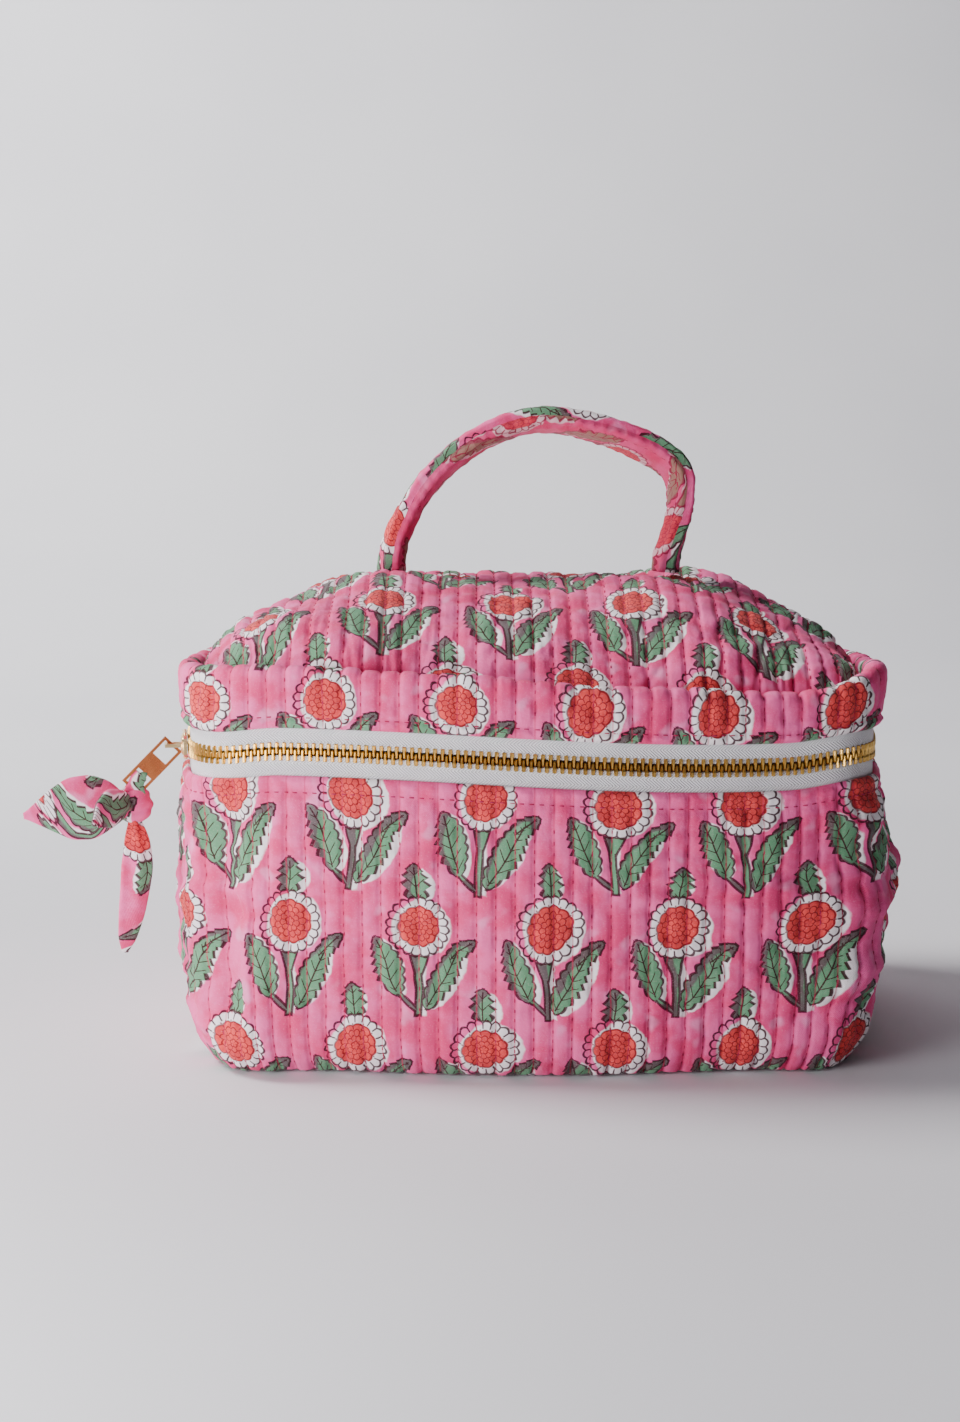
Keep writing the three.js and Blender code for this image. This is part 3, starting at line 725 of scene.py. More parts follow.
ripple = Waves(5.2, 3, 18, stretch=(2.2, 1.0))
dents = Waves(46, 4, 12)
creases = Waves(15, 5, 14, stretch=(3.2, 1.0))
drags = Waves(7.5, 8, 18, stretch=(2.6, 1.0))
fine = Waves(2.6, 6, 16)
sharp = Waves(19, 9, 14, stretch=(4.5, 1.0))


def crease_lines(a, b):
    """Narrow valleys that wander across the cloth, 1 along each and 0 between them."""
    return smooth(0.16, 0.0, np.abs(sharp(a, b)))


def quilt_height(u, v):
    """Padding between the stitched lines, with the puckers that the thread pulls into it."""
    across = np.abs(np.sin(math.pi * u / QUILT_PITCH))
    line = 1 - across
    channel = np.floor(u / QUILT_PITCH)
    uneven = 0.85 + 0.15 * np.sin(channel * 2.399 + v * 0.045)
    h = PUFF * quilt_puff(u) * uneven
    h = h + 0.42 * ripple(u + channel * 3.7, v) * (0.35 + 0.65 * line)
    return h + 0.07 * fine(u, v)


def quilt_lines(s, margin):
    """Columns nearest to each stitched line."""
    k = np.arange(math.ceil((s[0] + margin) / QUILT_PITCH), math.floor((s[-1] - margin) / QUILT_PITCH) + 1)
    return [int(np.argmin(np.abs(s - q * QUILT_PITCH))) for q in k]


def columns_between(low, high, step=QUILT_PITCH / 6):
    first = math.ceil(low / step + 0.3)
    last = math.floor(high / step - 0.3)
    return np.concatenate([[low], np.arange(first, last + 1) * step, [high]])


def stitch_columns(body, s, outer, normal, row_from, row_to, margin=4.0):
    for c in quilt_lines(s, margin):
        add_stitches(body, outer[c, row_from:row_to], normal[c, row_from:row_to])


SEAM_IN = 5.0  # from the lower tape's edge to the topstitching
SEAM_UP = 4.0  # and above the upper tape's edge
TOPSTITCH = (1.9, 1.5)  # length of a stitch, and the gap to the next
TUCK_UNDER, TUCK_HEIGHT = 9.0, 18.0
HALF_SPAN = 50.5  # from the lid's middle to each foot of the handle, and as far the lid's ridge is flat


def tuck(z):
    """How far the wall turns in under the bag's bottom edge."""
    return TUCK_UNDER * np.clip(1 - z / TUCK_HEIGHT, 0, 1) ** 2.2


def pucker(s, z, at, width=3.4, pitch=4.3):
    """Small gathers either side of a topstitched seam."""
    wave = 0.6 * np.sin(s * TAU / pitch + 0.9 * np.sin(s * 0.11))
    wave = wave + 0.4 * np.sin(s * TAU / (pitch * 0.61) + 1.3)
    return wave * bump(z, at, width)


# body wall: front, both sides and the rear corners
s = columns_between(-S_SEAM, S_SEAM)
z_row = rows_between(0.4, LOWER_EDGE, 1.5)
S, Z = np.meshgrid(s, z_row, indexing="ij")
stitch_z = LOWER_EDGE - SEAM_IN
puff = quilt_height(S, Z) * (1 - 0.9 * bump(Z, stitch_z, 1.1))
puff = puff * np.where(Z > stitch_z, 0.75, 1) + 0.30 * pucker(S, Z, stitch_z)
puff = puff + 0.8 * dents(S, Z) * smooth(12, 40, Z) * (1 - smooth(78, 96, Z))
corner_s = smooth(88, 106, np.abs(S))
strain = 0.35 + 0.75 * smooth(15, 90, S) + 0.9 * corner_s
puff = puff + 0.95 * creases(S, Z) * strain * smooth(6, 24, Z) * (1 - smooth(82, 98, Z))
puff = puff + 0.55 * drags(S, Z) * smooth(6, 24, Z) * (1 - smooth(86, 99, Z))
creased = crease_lines(S, Z) * (0.15 + 0.85 * smooth(10, 80, S) + 0.4 * smooth(-80, -110, S))
puff = puff - 1.0 * creased * smooth(10, 24, Z) * (1 - smooth(84, 97, Z))
offset = STITCHED - tuck(Z) + 0 * S
uv = np.stack([S, Z], -1) - WALL_PRINT
wall, outer, normal = swept("wall_cloth", s, offset, Z, uv, puff, 2.0, PRINT, "bag")
declare("body_wall")
top = int(np.argmin(np.abs(z_row - stitch_z)))
stitch_columns("bag", s, outer, normal, 6, top - 1)
add_stitches("bag", outer[3:-3, top], normal[3:-3, top], *TOPSTITCH)

# back panel
BACK_COLUMNS = columns_between(S_SEAM + 0.3, PERIMETER - S_SEAM - 0.3)
FOLD_LOW, FOLD_HIGH = ZIP_Z - 7, ZIP_Z + 7
s = BACK_COLUMNS
z_row = rows_between(0.4, FOLD_LOW, 1.5)
S, Z = np.meshgrid(s, z_row, indexing="ij")
puff = quilt_height(S, Z) + 0.9 * dents(S, Z) * smooth(12, 40, Z) * (1 - smooth(78, 96, Z))
offset = STITCHED - tuck(Z) + 0 * S
uv = np.stack([S, Z], -1) - WALL_PRINT
back, outer, normal = swept("back_cloth", s, offset, Z, uv, puff, 2.0, PRINT, "bag")
declare("back_panel")
stitch_columns("bag", s, outer, normal, 6, -4)

# the strip of quilting that the lid turns on
z_row = rows_between(FOLD_LOW + 0.15, FOLD_HIGH - 0.15, 0.9)
S, Z = np.meshgrid(s, z_row, indexing="ij")
puff = quilt_height(S, Z) * 0.75
offset = STITCHED - 1.1 * bump(Z, ZIP_Z, 2.2) + 0 * S
uv = np.stack([S, Z], -1) - WALL_PRINT
fold, _, _ = swept("back_fold", s, offset, Z, uv, puff, 1.3, PRINT, None, inner_material=LINING)
declare()
HINGE_Y * MM
FOLD_LOW * MM
HINGE_Y * MM
FOLD_HIGH * MM
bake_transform(fold)

# lid strip with its rolled rim
# the rim's height at arc lengths from the front's middle: higher at the corners, lower to the right
RIM_KEYS = [(-PERIMETER / 2, 131), (-S_SEAM, 131.5), (-SIDE_S - 20, 133.5), (-S45 - 16, 137.5),
            (-S45 + 2, 138.6), (-92, 137.2), (-50, 136.0), (0, 135.4), (35, 134.6), (62, 134.4),
            (92, 132.4), (S45 - 6, 133.6), (S45 + 10, 138.4), (S45 + 26, 137), (SIDE_S + 20, 133),
            (S_SEAM, 131.5), (PERIMETER / 2, 131)]


def rim_height(s):
    """Height of the lid's rolled rim round the bag, smoothed."""
    keys = np.array(RIM_KEYS)
    s = (np.asarray(s, float) + PERIMETER / 2) % PERIMETER - PERIMETER / 2
    spread = np.linspace(-7, 7, 9)
    return np.mean([np.interp(s + d, keys[:, 0], keys[:, 1]) for d in spread], 0)


ROLL = 2.5  # radius of the rolled rim


def strip_path(s, lowest):
    """Offsets and heights along the lid strip's section, from its lower edge up, over the rim and in."""
    rim = rim_height(s)[:, None]
    face = STITCHED - 0.05
    up = np.concatenate([np.arange(0, 2.4, 0.4), np.linspace(2.4, 11, 12)])
    offset_up = np.full((len(s), len(up)), face)
    z_up = lowest + up / up[-1] * (rim - ROLL - lowest)
    turn = np.linspace(0, math.pi, 15)[1:]
    offset_roll = face - ROLL + ROLL * np.cos(turn) + 0 * rim
    z_roll = rim - ROLL + ROLL * np.sin(turn)
    down = np.linspace(0, 5, 5)[1:]
    offset_down = np.full((len(s), len(down)), face - 2 * ROLL)
    z_down = rim - ROLL - down
    return (np.concatenate([offset_up, offset_roll, offset_down], 1),
            np.concatenate([z_up, z_roll, z_down], 1))


def lid_strip(name, s, lowest, node, topstitched, print_at):
    """The lid's quilted strip, from its lower edge over the rolled rim to the top panel's seam."""
    offset, Z = strip_path(s, lowest)
    S = s[:, None] + 0 * Z
    length = lengths_along(np.stack([offset, Z], -1))
    puff = quilt_height(S, Z)
    if topstitched:
        at = lowest + SEAM_UP
        puff = puff * (1 - 0.9 * bump(Z, at, 1.0) * (length < 9))
        puff = puff + 0.26 * pucker(S, Z, at, 2.8) * (length < 12)
    puff = puff + 0.35 * dents(S * 1.6, Z + 300)
    offset = offset + 0.72 * dents(S * 0.9 + 70, Z * 0 + 40) * smooth(6, 14, length)
    uv = np.stack([S, lowest + length], -1) - print_at
    obj, outer, normal = swept(name, s, offset, Z, uv, puff, 1.7, PRINT, "lid")
    declare(node)
    stitch_columns("lid", s, outer, normal, 8 if topstitched else 3, -5)
    if topstitched:
        row = int(np.argmin(np.abs(Z[len(s) // 2, :14] - (lowest + SEAM_UP))))
        add_stitches("lid", outer[3:-3, row], normal[3:-3, row], *TOPSTITCH)


lid_strip("lid_strip_cloth", columns_between(-S_SEAM, S_SEAM), UPPER_EDGE, "lid_band", True, LID_STRIP_PRINT)
lid_strip("lid_back_cloth", BACK_COLUMNS, FOLD_HIGH, "lid_back_band", False, WALL_PRINT)


# ---------- Panels inside the outline: lid top, base and their linings ----------
def chord_grid(edge, columns, rows):
    """x and y of a grid of straight columns, front to back across the outline moved out by edge."""
    q = np.linspace(-SIDE_S, SIDE_S, 4001)
    p = outline(q, edge + 0 * q)
    reach = p[-1, 0]
    tau = np.linspace(-1, 1, columns)
    x = reach * 0.9992 * (0.5 * tau + 0.5 * np.sin(tau * math.pi / 2))
    front = np.interp(x, p[:, 0], p[:, 1])
    t = np.linspace(0, 1, rows)
    t = 0.6 * t + 0.4 * (1 - np.cos(math.pi * t)) / 2
    y = front[:, None] * (1 - 2 * t[None, :])
    return x[:, None] + 0 * y, y


def reach_of(x, y, edge):
    """0 at the middle of the plan and 1 at the outline moved out by edge."""
    q = np.linspace(-PERIMETER / 2, PERIMETER / 2, 4001)
    p = outline(q, edge + 0 * q)
    turn = np.unwrap(np.arctan2(p[:, 0], -p[:, 1]))
    radius = np.hypot(p[:, 0], p[:, 1])
    return np.clip(np.hypot(x, y) / np.interp(np.arctan2(x, -y), turn, radius), 0, 1)


def seam_lift(x, y):
    """How far the lid's seam rises towards the raised corners."""
    left = smooth(30, 110, -x) * 4.5
    right = smooth(85, 115, x) * 3.0 * smooth(30, -60, y)
    return left * smooth(60, -40, y) + right


def dome(x, y, edge):
    """Height of the lid's stitched surface."""
    sideways = np.clip((np.abs(x) - HALF_SPAN) / (WIDTH / 2 - HALF_SPAN), 0, 1)
    power = np.where(x < 0, 1.55, 1.65)
    forward = np.clip(np.abs(y) / (DEPTH / 2), 0, 1)
    reach = reach_of(x, y, edge)
    fullness = (1 - sideways**power) * (1 - forward**2.5)
    shoulder = 7.0 * sideways**1.5 * (1 - forward**4)
    rise = (RIDGE_Z - 1.5 - CAD_SEAM_Z) * fullness + shoulder
    return CAD_SEAM_Z - 1 + seam_lift(x, y) + rise * (1 - reach**14)


def panel(name, edge, top_face, thickness, material, body, columns, rows, puff=None, uv=None):
    """A sheet across the outline. top_face gives the height of its stitched surface."""
    x, y = chord_grid(edge, columns, rows)
    base = warp(np.stack([x, y, top_face(x, y)], -1))
    normal = normals_of(base)
    outer = base + normal * puff(x, y)[..., None] if puff else base
    inner = base - normal * thickness
    obj = shell(name, outer, inner, uv(x, base) if uv else np.stack([x, y], -1))
    obj.data.materials.append(material)
    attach(obj, body)
    return obj, outer, normal, x


def arc_across(x):
    """Arc length over the dome from its middle, along the ridge."""
    xs = np.linspace(-WIDTH / 2 + 3.5, WIDTH / 2 - 3.5, 600)
    zs = dome(xs, 0 * xs, -3.4)
    arc = np.concatenate([[0], np.cumsum(np.hypot(np.diff(xs), np.diff(np.minimum(zs, 200))))])
    arc -= np.interp(0, xs, arc)
    return np.interp(x, xs, arc)


lid_dents = Waves(58, 21, 12)
lid_creases = Waves(22, 22, 12, stretch=(2.4, 1.0))


def lid_puff(x, y):
    u = arc_across(x)
    reach = reach_of(x, y, -3.2)
    h = quilt_height(u, y * 1.15) * smooth(1.0, 0.94, reach)
    h = h + 1.7 * lid_dents(x, y) * smooth(1.0, 0.8, reach)
    h = h + 0.4 * drags(x, y) * smooth(1.0, 0.9, reach)
    h = h - 0.6 * crease_lines(y * 1.3 + 40, x) * smooth(0.5, 0.9, reach) * smooth(1.0, 0.93, reach)
    h = h + 1.3 * lid_creases(x, y) * smooth(0.6, 0.9, reach) * smooth(1.0, 0.95, reach)
    # the strap's feet pull the cloth into short hollows
    for foot in (-HALF_SPAN, HALF_SPAN):
        away = np.hypot(x - foot, y)
        h = h - 1.4 * bump(away, 11, 5) + 0.5 * bump(away, 24, 8)
    return h


def lid_uv(x, base):
    arc = lengths_along(base)
    v = arc - arc[:, arc.shape[1] // 2][:, None]
    middle = arc[len(x) // 2, arc.shape[1] // 2]
    return np.stack([arc_across(x) + 1.25 * QUILT_PITCH, v + middle - 50], -1)


LID_EDGE, BASE_EDGE = -3.2, -6.8  # of each panel, outwards from the outline
lid_panel, outer, normal, x = panel("lid_top_cloth", LID_EDGE, lambda x, y: dome(x, y, LID_EDGE), 1.8, PRINT,
                                    "lid", 331, 141, lid_puff, lid_uv)
declare("lid_top")
arc = arc_across(x[:, 0])
for k in range(math.ceil((arc[0] + 3) / QUILT_PITCH), math.floor((arc[-1] - 3) / QUILT_PITCH) + 1):
    column = int(np.argmin(np.abs(arc - k * QUILT_PITCH)))
    add_stitches("lid", outer[column, 4:-4], normal[column, 4:-4])


# the base's padding stands out underneath
base_cloth, _, _, _ = panel("base_cloth", BASE_EDGE, lambda x, y: 2.9 + 0 * x, 1.6, PRINT, "bag", 221, 91)
points = np.array([v.co for v in base_cloth.data.vertices]) / MM
under = points[len(points) // 2:]
near_edge = reach_of(under[:, 0], under[:, 1], BASE_EDGE)
under[:, 2] -= 0.75 * quilt_puff(under[:, 0]) * smooth(1.0, 0.95, near_edge)
base_cloth.data.vertices.foreach_set("co", (points * MM).astype(np.float32).ravel())
declare("base_panel")

# linings
lining_waves = Waves(30, 31, 12)


LINING_THICKNESS = 0.6


def bed_face(x, y):
    return 4.2 + 0.25 * (1 + lining_waves(x, y))


def ceiling_face(x, y):
    return dome(x, y, -4.6) - 3.4 - 0.5 * (1 + lining_waves(x, y))


bed, _, _, _ = panel("base_lining_cloth", -10.2, bed_face, LINING_THICKNESS, LINING, "bag", 121, 61)
declare("base_lining")
bed_size = ((WIDTH - 20) * MM, (DEPTH - 20) * MM)
0.9 * bed_size[0] * bed_size[1]

ceiling, _, _, _ = panel("lid_lining_cloth", -4.6, ceiling_face, LINING_THICKNESS, LINING, "lid", 161, 81)
declare("lid_lining")


def lining_ring(name, z_low, z_high, node, body, tucked):
    """Plain lining all round the inside. tucked follows the wall in at the bottom."""
    s = np.linspace(-PERIMETER / 2, PERIMETER / 2, 361)[:-1]
    z_row = rows_between(z_low, z_high, 2.5, 1.2, 0.4)
    S, Z = np.meshgrid(s, z_row, indexing="ij")
    inward = 0.35 * (1 + lining_waves(S, Z)) * smooth(0, 10, np.minimum(Z - z_low, z_high - Z))
    offset = -0.95 - inward - (tuck(Z) if tucked else 0) + 0 * S
    uv = np.stack([S, Z], -1)
    obj, _, _ = swept(name, s, offset, Z, uv, 0 * S, LINING_THICKNESS, LINING, body, closed=True)
    declare(node)
    height = z_high - z_low
    (height + 3) * MM
    PERIMETER * height * MM * MM


lining_ring("body_lining_cloth", 3.4, LOWER_EDGE - 0.3, "body_lining", "bag", True)
lining_ring("lid_strip_lining", UPPER_EDGE + 0.4, UPPER_EDGE + 7.6, "lid_band_lining", "lid", False)


def binding_ring(name, offset_out, z_low, z_high, node, body):
    """A folded tape over a seam's raw edges: two leaves joined over the top."""
    s = np.linspace(-PERIMETER / 2, PERIMETER / 2, 481)[:-1]
    z_row = rows_between(z_low, z_high, 1.2, 1.2, 0.3)
    S, Z = np.meshgrid(s, z_row, indexing="ij")
    gather = 0.16 * np.sin(S * TAU / 5.1 + np.sin(S * 0.2)) * smooth(z_low, z_high, Z)
    offset = offset_out + gather
    uv = np.stack([S, Z], -1)
    puff = -0.25 * bump(Z, z_low + 2.2, 0.7)
    obj, outer, normal = swept(name, s, offset, Z, uv, puff, 1.3, BINDING, body, closed=True)
    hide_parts(node)
    row = int(np.argmin(np.abs(z_row - z_low - 2.2)))
    inner = outer - normal * 1.45
    add_stitches(body, inner[:, row], -normal[:, row], 2.6, 1.4)


binding_ring("base_binding", -10.7, 5.4, 12.4, "base_seam_binding", "bag")
binding_ring("lid_binding", -2.3, 117.1, 124.4, "lid_seam_binding", "lid")

# hinge tape inside the back fold
HINGE_TAPE_LOW, HINGE_TAPE_HIGH = ZIP_Z - 7.6, ZIP_Z - 0.4
s = np.linspace(S_SEAM + 3, PERIMETER - S_SEAM - 3, 160)
z_row = rows_between(HINGE_TAPE_LOW, HINGE_TAPE_HIGH, 1.0, 1.2, 0.4)
S, Z = np.meshgrid(s, z_row, indexing="ij")
tape, _, _ = swept("hinge_cloth", s, -1.0 + 0 * S, Z, np.stack([S, Z], -1), 0 * S, 0.8, BINDING, "bag")
declare("hinge_tape")
(s[-1] - s[0]) * (HINGE_TAPE_HIGH - HINGE_TAPE_LOW) * MM * MM


# ---------- Zip ----------
CORD = 1.35  # from the middle of the zip to the edge of each tape


def zip_tape(name, low, high, node, body, chain_edge):
    """One half of the zip's tape, with a woven cord along the edge that holds the teeth."""
    s = np.arange(-S_SEAM - 2, S_SEAM + 2, 1.2)
    z_row = rows_between(low, high, 0.9, 1.2, 0.3)
    S, Z = np.meshgrid(s, z_row, indexing="ij")
    cord = 0.55 * bump(Z, chain_edge, 0.8)  # the woven cord that the teeth grip
    gather = 0.2 * pucker(S, Z, low if chain_edge == high else high, 3.2)
    uv = np.stack([S, Z], -1)
    # past the last tooth the two tapes close up, to this far apart
    closed_half = 0.12
    past = smooth(S_SEAM - 6.6, S_SEAM - 5.4, np.abs(S)) * (1 - smooth(0.2, 1.6, np.abs(Z - chain_edge)))
    Z = Z + np.sign(ZIP_Z - chain_edge) * (CORD - closed_half) * past
    obj, _, _ = swept(name, s, 0.35 + 0 * S, Z, uv, cord + gather, 0.7, TAPE, body)
    declare(node)
    length, width = (s[-1] - s[0]) * MM, (high - low) * MM
    width + 1.5 * MM
    length * width


TAPE_TUCK = 4.6  # of each tape behind the quilting
zip_tape("lower_tape_cloth", LOWER_EDGE - TAPE_TUCK, ZIP_Z - CORD, "lower_zip_tape", "bag", ZIP_Z - CORD)
zip_tape("upper_tape_cloth", ZIP_Z + CORD, UPPER_EDGE + TAPE_TUCK, "upper_zip_tape", "lid", ZIP_Z + CORD)

TOOTH_PITCH = 2.54  # along one side of the chain
CHAIN_END = 6.4  # from a back seam to the nearest tooth


def zip_teeth(name, side, node, body):
    """Stamped teeth: each clamps the tape's cord and reaches a little past the chain's middle."""
    shift = 0 if side < 0 else TOOTH_PITCH / 2
    s = np.arange(-S_SEAM + CHAIN_END, S_SEAM - CHAIN_END, TOOTH_PITCH) + shift
    # distance from the middle of the chain, half width along the zip and half depth
    rings = [(3.1, 0.50, 0.95), (2.85, 0.70, 1.25), (1.5, 0.70, 1.25), (0.75, 0.54, 1.1),
             (-0.55, 0.50, 1.0), (-0.95, 0.36, 0.7)]
    turn = (np.arange(8) + 0.5) * TAU / 8
    section = np.clip(np.stack([np.cos(turn), np.sin(turn)], -1) * 1.12, -1, 1)
    points, faces = [], []
    place = outline(s, 0 * s)
    ahead = outline(s + 0.5, 0 * s)
    for index in range(len(s)):
        along = np.append(ahead[index] - place[index], 0)
        along /= np.linalg.norm(along)
        out = np.array([along[1], -along[0], 0])
        start = len(points)
        for up, wide, deep in rings:
            centre = np.array([*place[index], ZIP_Z + side * up])
            points += [centre + along * cx * wide + out * cy * deep for cx, cy in section]
        for ring in range(len(rings) - 1):
            o = start + ring * 8
            for k in range(8):
                m = (k + 1) % 8
                faces.append((o + k, o + 8 + k, o + 8 + m, o + m))
        faces.append(tuple(start + k for k in range(8)))
        faces.append(tuple(start + (len(rings) - 1) * 8 + 7 - k for k in range(8)))
    points = warp(np.array(points))
    obj = make_mesh(name, points, faces, smooth_faces=False)
    obj.data.materials.append(BRASS)
    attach(obj, body)
    declare(node)


zip_teeth("lower_tooth_row", -1, "lower_zip_teeth", "bag")
zip_teeth("upper_tooth_row", 1, "upper_zip_teeth", "lid")


def finish_metal(node, material, width):
    """A better material and softened edges on a CAD metal piece."""
    obj = frame["nodes"][node]
    for index in range(max(1, len(obj.material_slots))):
        if obj.material_slots:
            obj.material_slots[index].material = material
        else:
            obj.data.materials.append(material)
    bevel = obj.modifiers.new("soft edges", "BEVEL")
    bevel.width = width * MM
    bevel.segments = 2
    bevel.limit_method = "ANGLE"
    bevel.harden_normals = True


finish_metal("zip_slider", GOLD, 0.22)
finish_metal("pull_tab", COPPER, 0.22)
for stop in ("lower_zip_top_stop", "upper_zip_top_stop", "zip_bottom_stop"):
    finish_metal(stop, BRASS, 0.2)


# the slider's outer plate is domed, with lips turned in towards the tape
PLATE_FACE = 2.8  # from the middle of the chain to the slider's outer face
PIVOT_STANDOFF = 3.7
pull_pivot = np.array(joint("pull_swing")["pos_m"]) / MM
arc_centre = np.array(joint("slider_travel")["pos_m"]) / MM
slider_out = pull_pivot - arc_centre
slider_out[2] = 0
slider_out /= np.linalg.norm(slider_out)
slider_front = np.array([-slider_out[1], slider_out[0], 0.0])
slider_at = pull_pivot - slider_out * (PLATE_FACE + PIVOT_STANDOFF)


UP = np.array([0.0, 0.0, 1.0])


def slider_points(local):
    """Points outwards, forwards and upwards of the slider's middle."""
    return slider_at + local @ np.array([slider_out, slider_front, UP])


def slider_dome():
    """The slider's outer plate, rounded over."""
    around = np.linspace(0, TAU, 41)[:-1]
    rings = np.linspace(0, 1, 9)[1:]
    cx = np.sign(np.cos(around)) * np.abs(np.cos(around)) ** 0.7
    cy = np.sign(np.sin(around)) * np.abs(np.sin(around)) ** 0.7
    local = [[PLATE_FACE + 0.95, 0, 0]]
    for r in rings:
        height = PLATE_FACE - 0.1 + 1.05 * math.sqrt(max(0, 1 - r**2.6))
        local += [[height, 5.0 * r * a, (3.95 - 0.35 * a) * r * b] for a, b in zip(cx, cy)]
    n = len(around)
    faces = [(0, 1 + k, 1 + (k + 1) % n) for k in range(n)]
    for i in range(len(rings) - 1):
        o = 1 + i * n
        faces += [(o + k, o + n + k, o + n + (k + 1) % n, o + (k + 1) % n) for k in range(n)]
    faces.append(tuple(1 + (len(rings) - 1) * n + k for k in range(n))[::-1])
    obj = make_mesh("slider_dome", slider_points(np.array(local, float)), faces)
    obj.data.materials.append(GOLD)
    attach(obj, "slider")


slider_dome()


# ---------- Tubes and folds of cloth ----------
def tube(name, path, across, section, uv_shift=(0, 0)):
    """A closed tube along a path. section(fraction, distance) gives its ring's points, across and up."""
    count = len(path)
    tangent = np.gradient(path, axis=0)
    tangent /= np.linalg.norm(tangent, axis=-1, keepdims=True)
    side = across - (across * tangent).sum(-1, keepdims=True) * tangent
    side /= np.linalg.norm(side, axis=-1, keepdims=True)
    up = np.cross(tangent, side)
    at = lengths_along(path[None])[0]
    rings, uvs = [], []
    for i in range(count):
        ring = section(at[i] / at[-1], at[i])
        rings.append(path[i] + side[i] * ring[:, :1] + up[i] * ring[:, 1:2])
        around = lengths_along(np.vstack([ring, ring[:1]])[None])[0]
        uvs.append(np.stack([around + uv_shift[0], at[i] + uv_shift[1] + 0 * around], -1))
    n = len(rings[0])
    points = np.concatenate(rings)
    faces, uv = [], []
    for i in range(count - 1):
        for k in range(n):
            m = (k + 1) % n
            faces.append((i * n + k, i * n + m, (i + 1) * n + m, (i + 1) * n + k))
            uv += [uvs[i][k], uvs[i][k + 1], uvs[i + 1][k + 1], uvs[i + 1][k]]
    faces.append(tuple(range(n - 1, -1, -1)))
    uv += [uvs[0][k] for k in range(n - 1, -1, -1)]
    faces.append(tuple((count - 1) * n + k for k in range(n)))
    uv += [uvs[-1][k] for k in range(n)]
    return make_mesh(name, points, faces, np.array(uv)), np.array(rings), side, up


def spline(keys, count):
    """Evenly spaced points on a smooth curve through the keys."""
    keys = np.asarray(keys, float)
    n = len(keys)
    padded_keys = np.vstack([2 * keys[0] - keys[1], keys, 2 * keys[-1] - keys[-2]])
    fine_points = []
    for i in range(n - 1):
        p0, p1, p2, p3 = padded_keys[i:i + 4]
        for t in np.linspace(0, 1, 60, endpoint=i == n - 2):
            fine_points.append(0.5 * (2 * p1 + (p2 - p0) * t + (2 * p0 - 5 * p1 + 4 * p2 - p3) * t * t
                                      + (3 * p1 - p0 - 3 * p2 + p3) * t**3))
    fine_points = np.array(fine_points)
    at = lengths_along(fine_points[None])[0]
    q = np.linspace(0, at[-1], count)
    return np.stack([np.interp(q, at, fine_points[:, k]) for k in range(keys.shape[1])], -1)


# ---------- Handle ----------
handle_z = joint("handle_fold")["pos_m"][2] / MM
RISE = 50.0  # from the feet to the strap's highest point
# the arch, in half spans and rises: it leans to the right
strap_keys = [(-1.0, -0.10), (-0.99, 0.02), (-0.93, 0.22), (-0.72, 0.56), (-0.36, 0.86), (0.08, 1.0),
              (0.6, 0.9), (1.02, 0.68), (1.09, 0.42), (1.04, 0.16), (1.0, 0.02), (0.99, -0.10)]
path = spline([(a * HALF_SPAN, 0, b * RISE + handle_z) for a, b in strap_keys], 190)
path[:, 1] += 0.8 * np.sin(np.linspace(0, math.pi * 2.2, len(path)))
strap_length = float(np.linalg.norm(np.diff(path, axis=0), axis=1).sum())


strap_turn = np.linspace(0, TAU, 41)[:-1]


def strap_section(t, at):
    """A flat padded strap with a corded edge down both sides, pinched and folded at its feet."""
    near = min(at, strap_length - at)
    pinch = smooth(2, 44, near)
    half_width = 5.0 + 5.2 * pinch
    thick = 4.1 + 0.2 * (1 - pinch) + 0.12 * math.sin(at * 0.9) + 0.1 * math.sin(at * 0.37 + 1)
    cx, cy = np.cos(strap_turn), np.sin(strap_turn)
    x = half_width * np.sign(cx) * np.abs(cx) ** 0.62
    y = thick * np.sign(cy) * np.abs(cy) ** 0.55
    groove = bump(np.abs(x), half_width - 3.3, 0.75)
    y = y * (1 - 0.34 * groove * pinch)
    seam = bump(y / thick, 0.05, 0.2) * (np.abs(cx) > 0.6)
    x = x * (1 - 0.13 * seam)
    x = x + 0.3 * math.sin(at * TAU / 4.4) * np.sign(x) * bump(y / thick, -0.45, 0.4)
    fold = (1 - pinch) * 1.1 * np.cos(x / half_width * math.pi * 1.5)
    y = y + fold * np.sign(y) * 0.8
    y = y + 0.16 * np.sin(at * TAU / 4.1 + x) * bump(np.abs(x), half_width - 3.3, 2.2) * np.sign(y)
    return np.stack([x, y], -1)


outwards = np.cross(np.gradient(path, axis=0), [0.0, 1.0, 0.0])
outwards *= -1 if outwards[len(path) // 2, 2] < 0 else 1
outwards /= np.linalg.norm(outwards, axis=-1, keepdims=True)
roll_keys = ([0, 0.12, 0.3, 0.5, 0.72, 0.88, 1], [0, 6, 9, 11, 19, 10, 0])
roll = np.radians(np.interp(np.linspace(0, 1, len(path)), *roll_keys))[:, None]
across = np.cos(roll) * np.array([0.0, 1.0, 0.0]) - np.sin(roll) * outwards
strap, rings, side, up = tube("strap_cloth", path, across, strap_section, (4, 6))
strap.data.materials.append(PRINT_STRAP)
strap.data.materials.append(STRAP_SHADED_INNER)
ring_points = len(strap_turn)
turn = strap_turn + TAU / ring_points / 2
# faces turned towards the inside of the arch take the copy of the print with painted shade
centre_of_arch = np.array([4.0, 0, handle_z + 18])
index = np.zeros(len(strap.data.polygons), int)
for i in range(len(path) - 1):
    towards = np.sign(((centre_of_arch - path[i]) * up[i]).sum())
    inside = np.sin(turn) * towards > 0.05
    index[i * ring_points:(i + 1) * ring_points] = inside
strap.data.polygons.foreach_set("material_index", index.astype(np.int32))
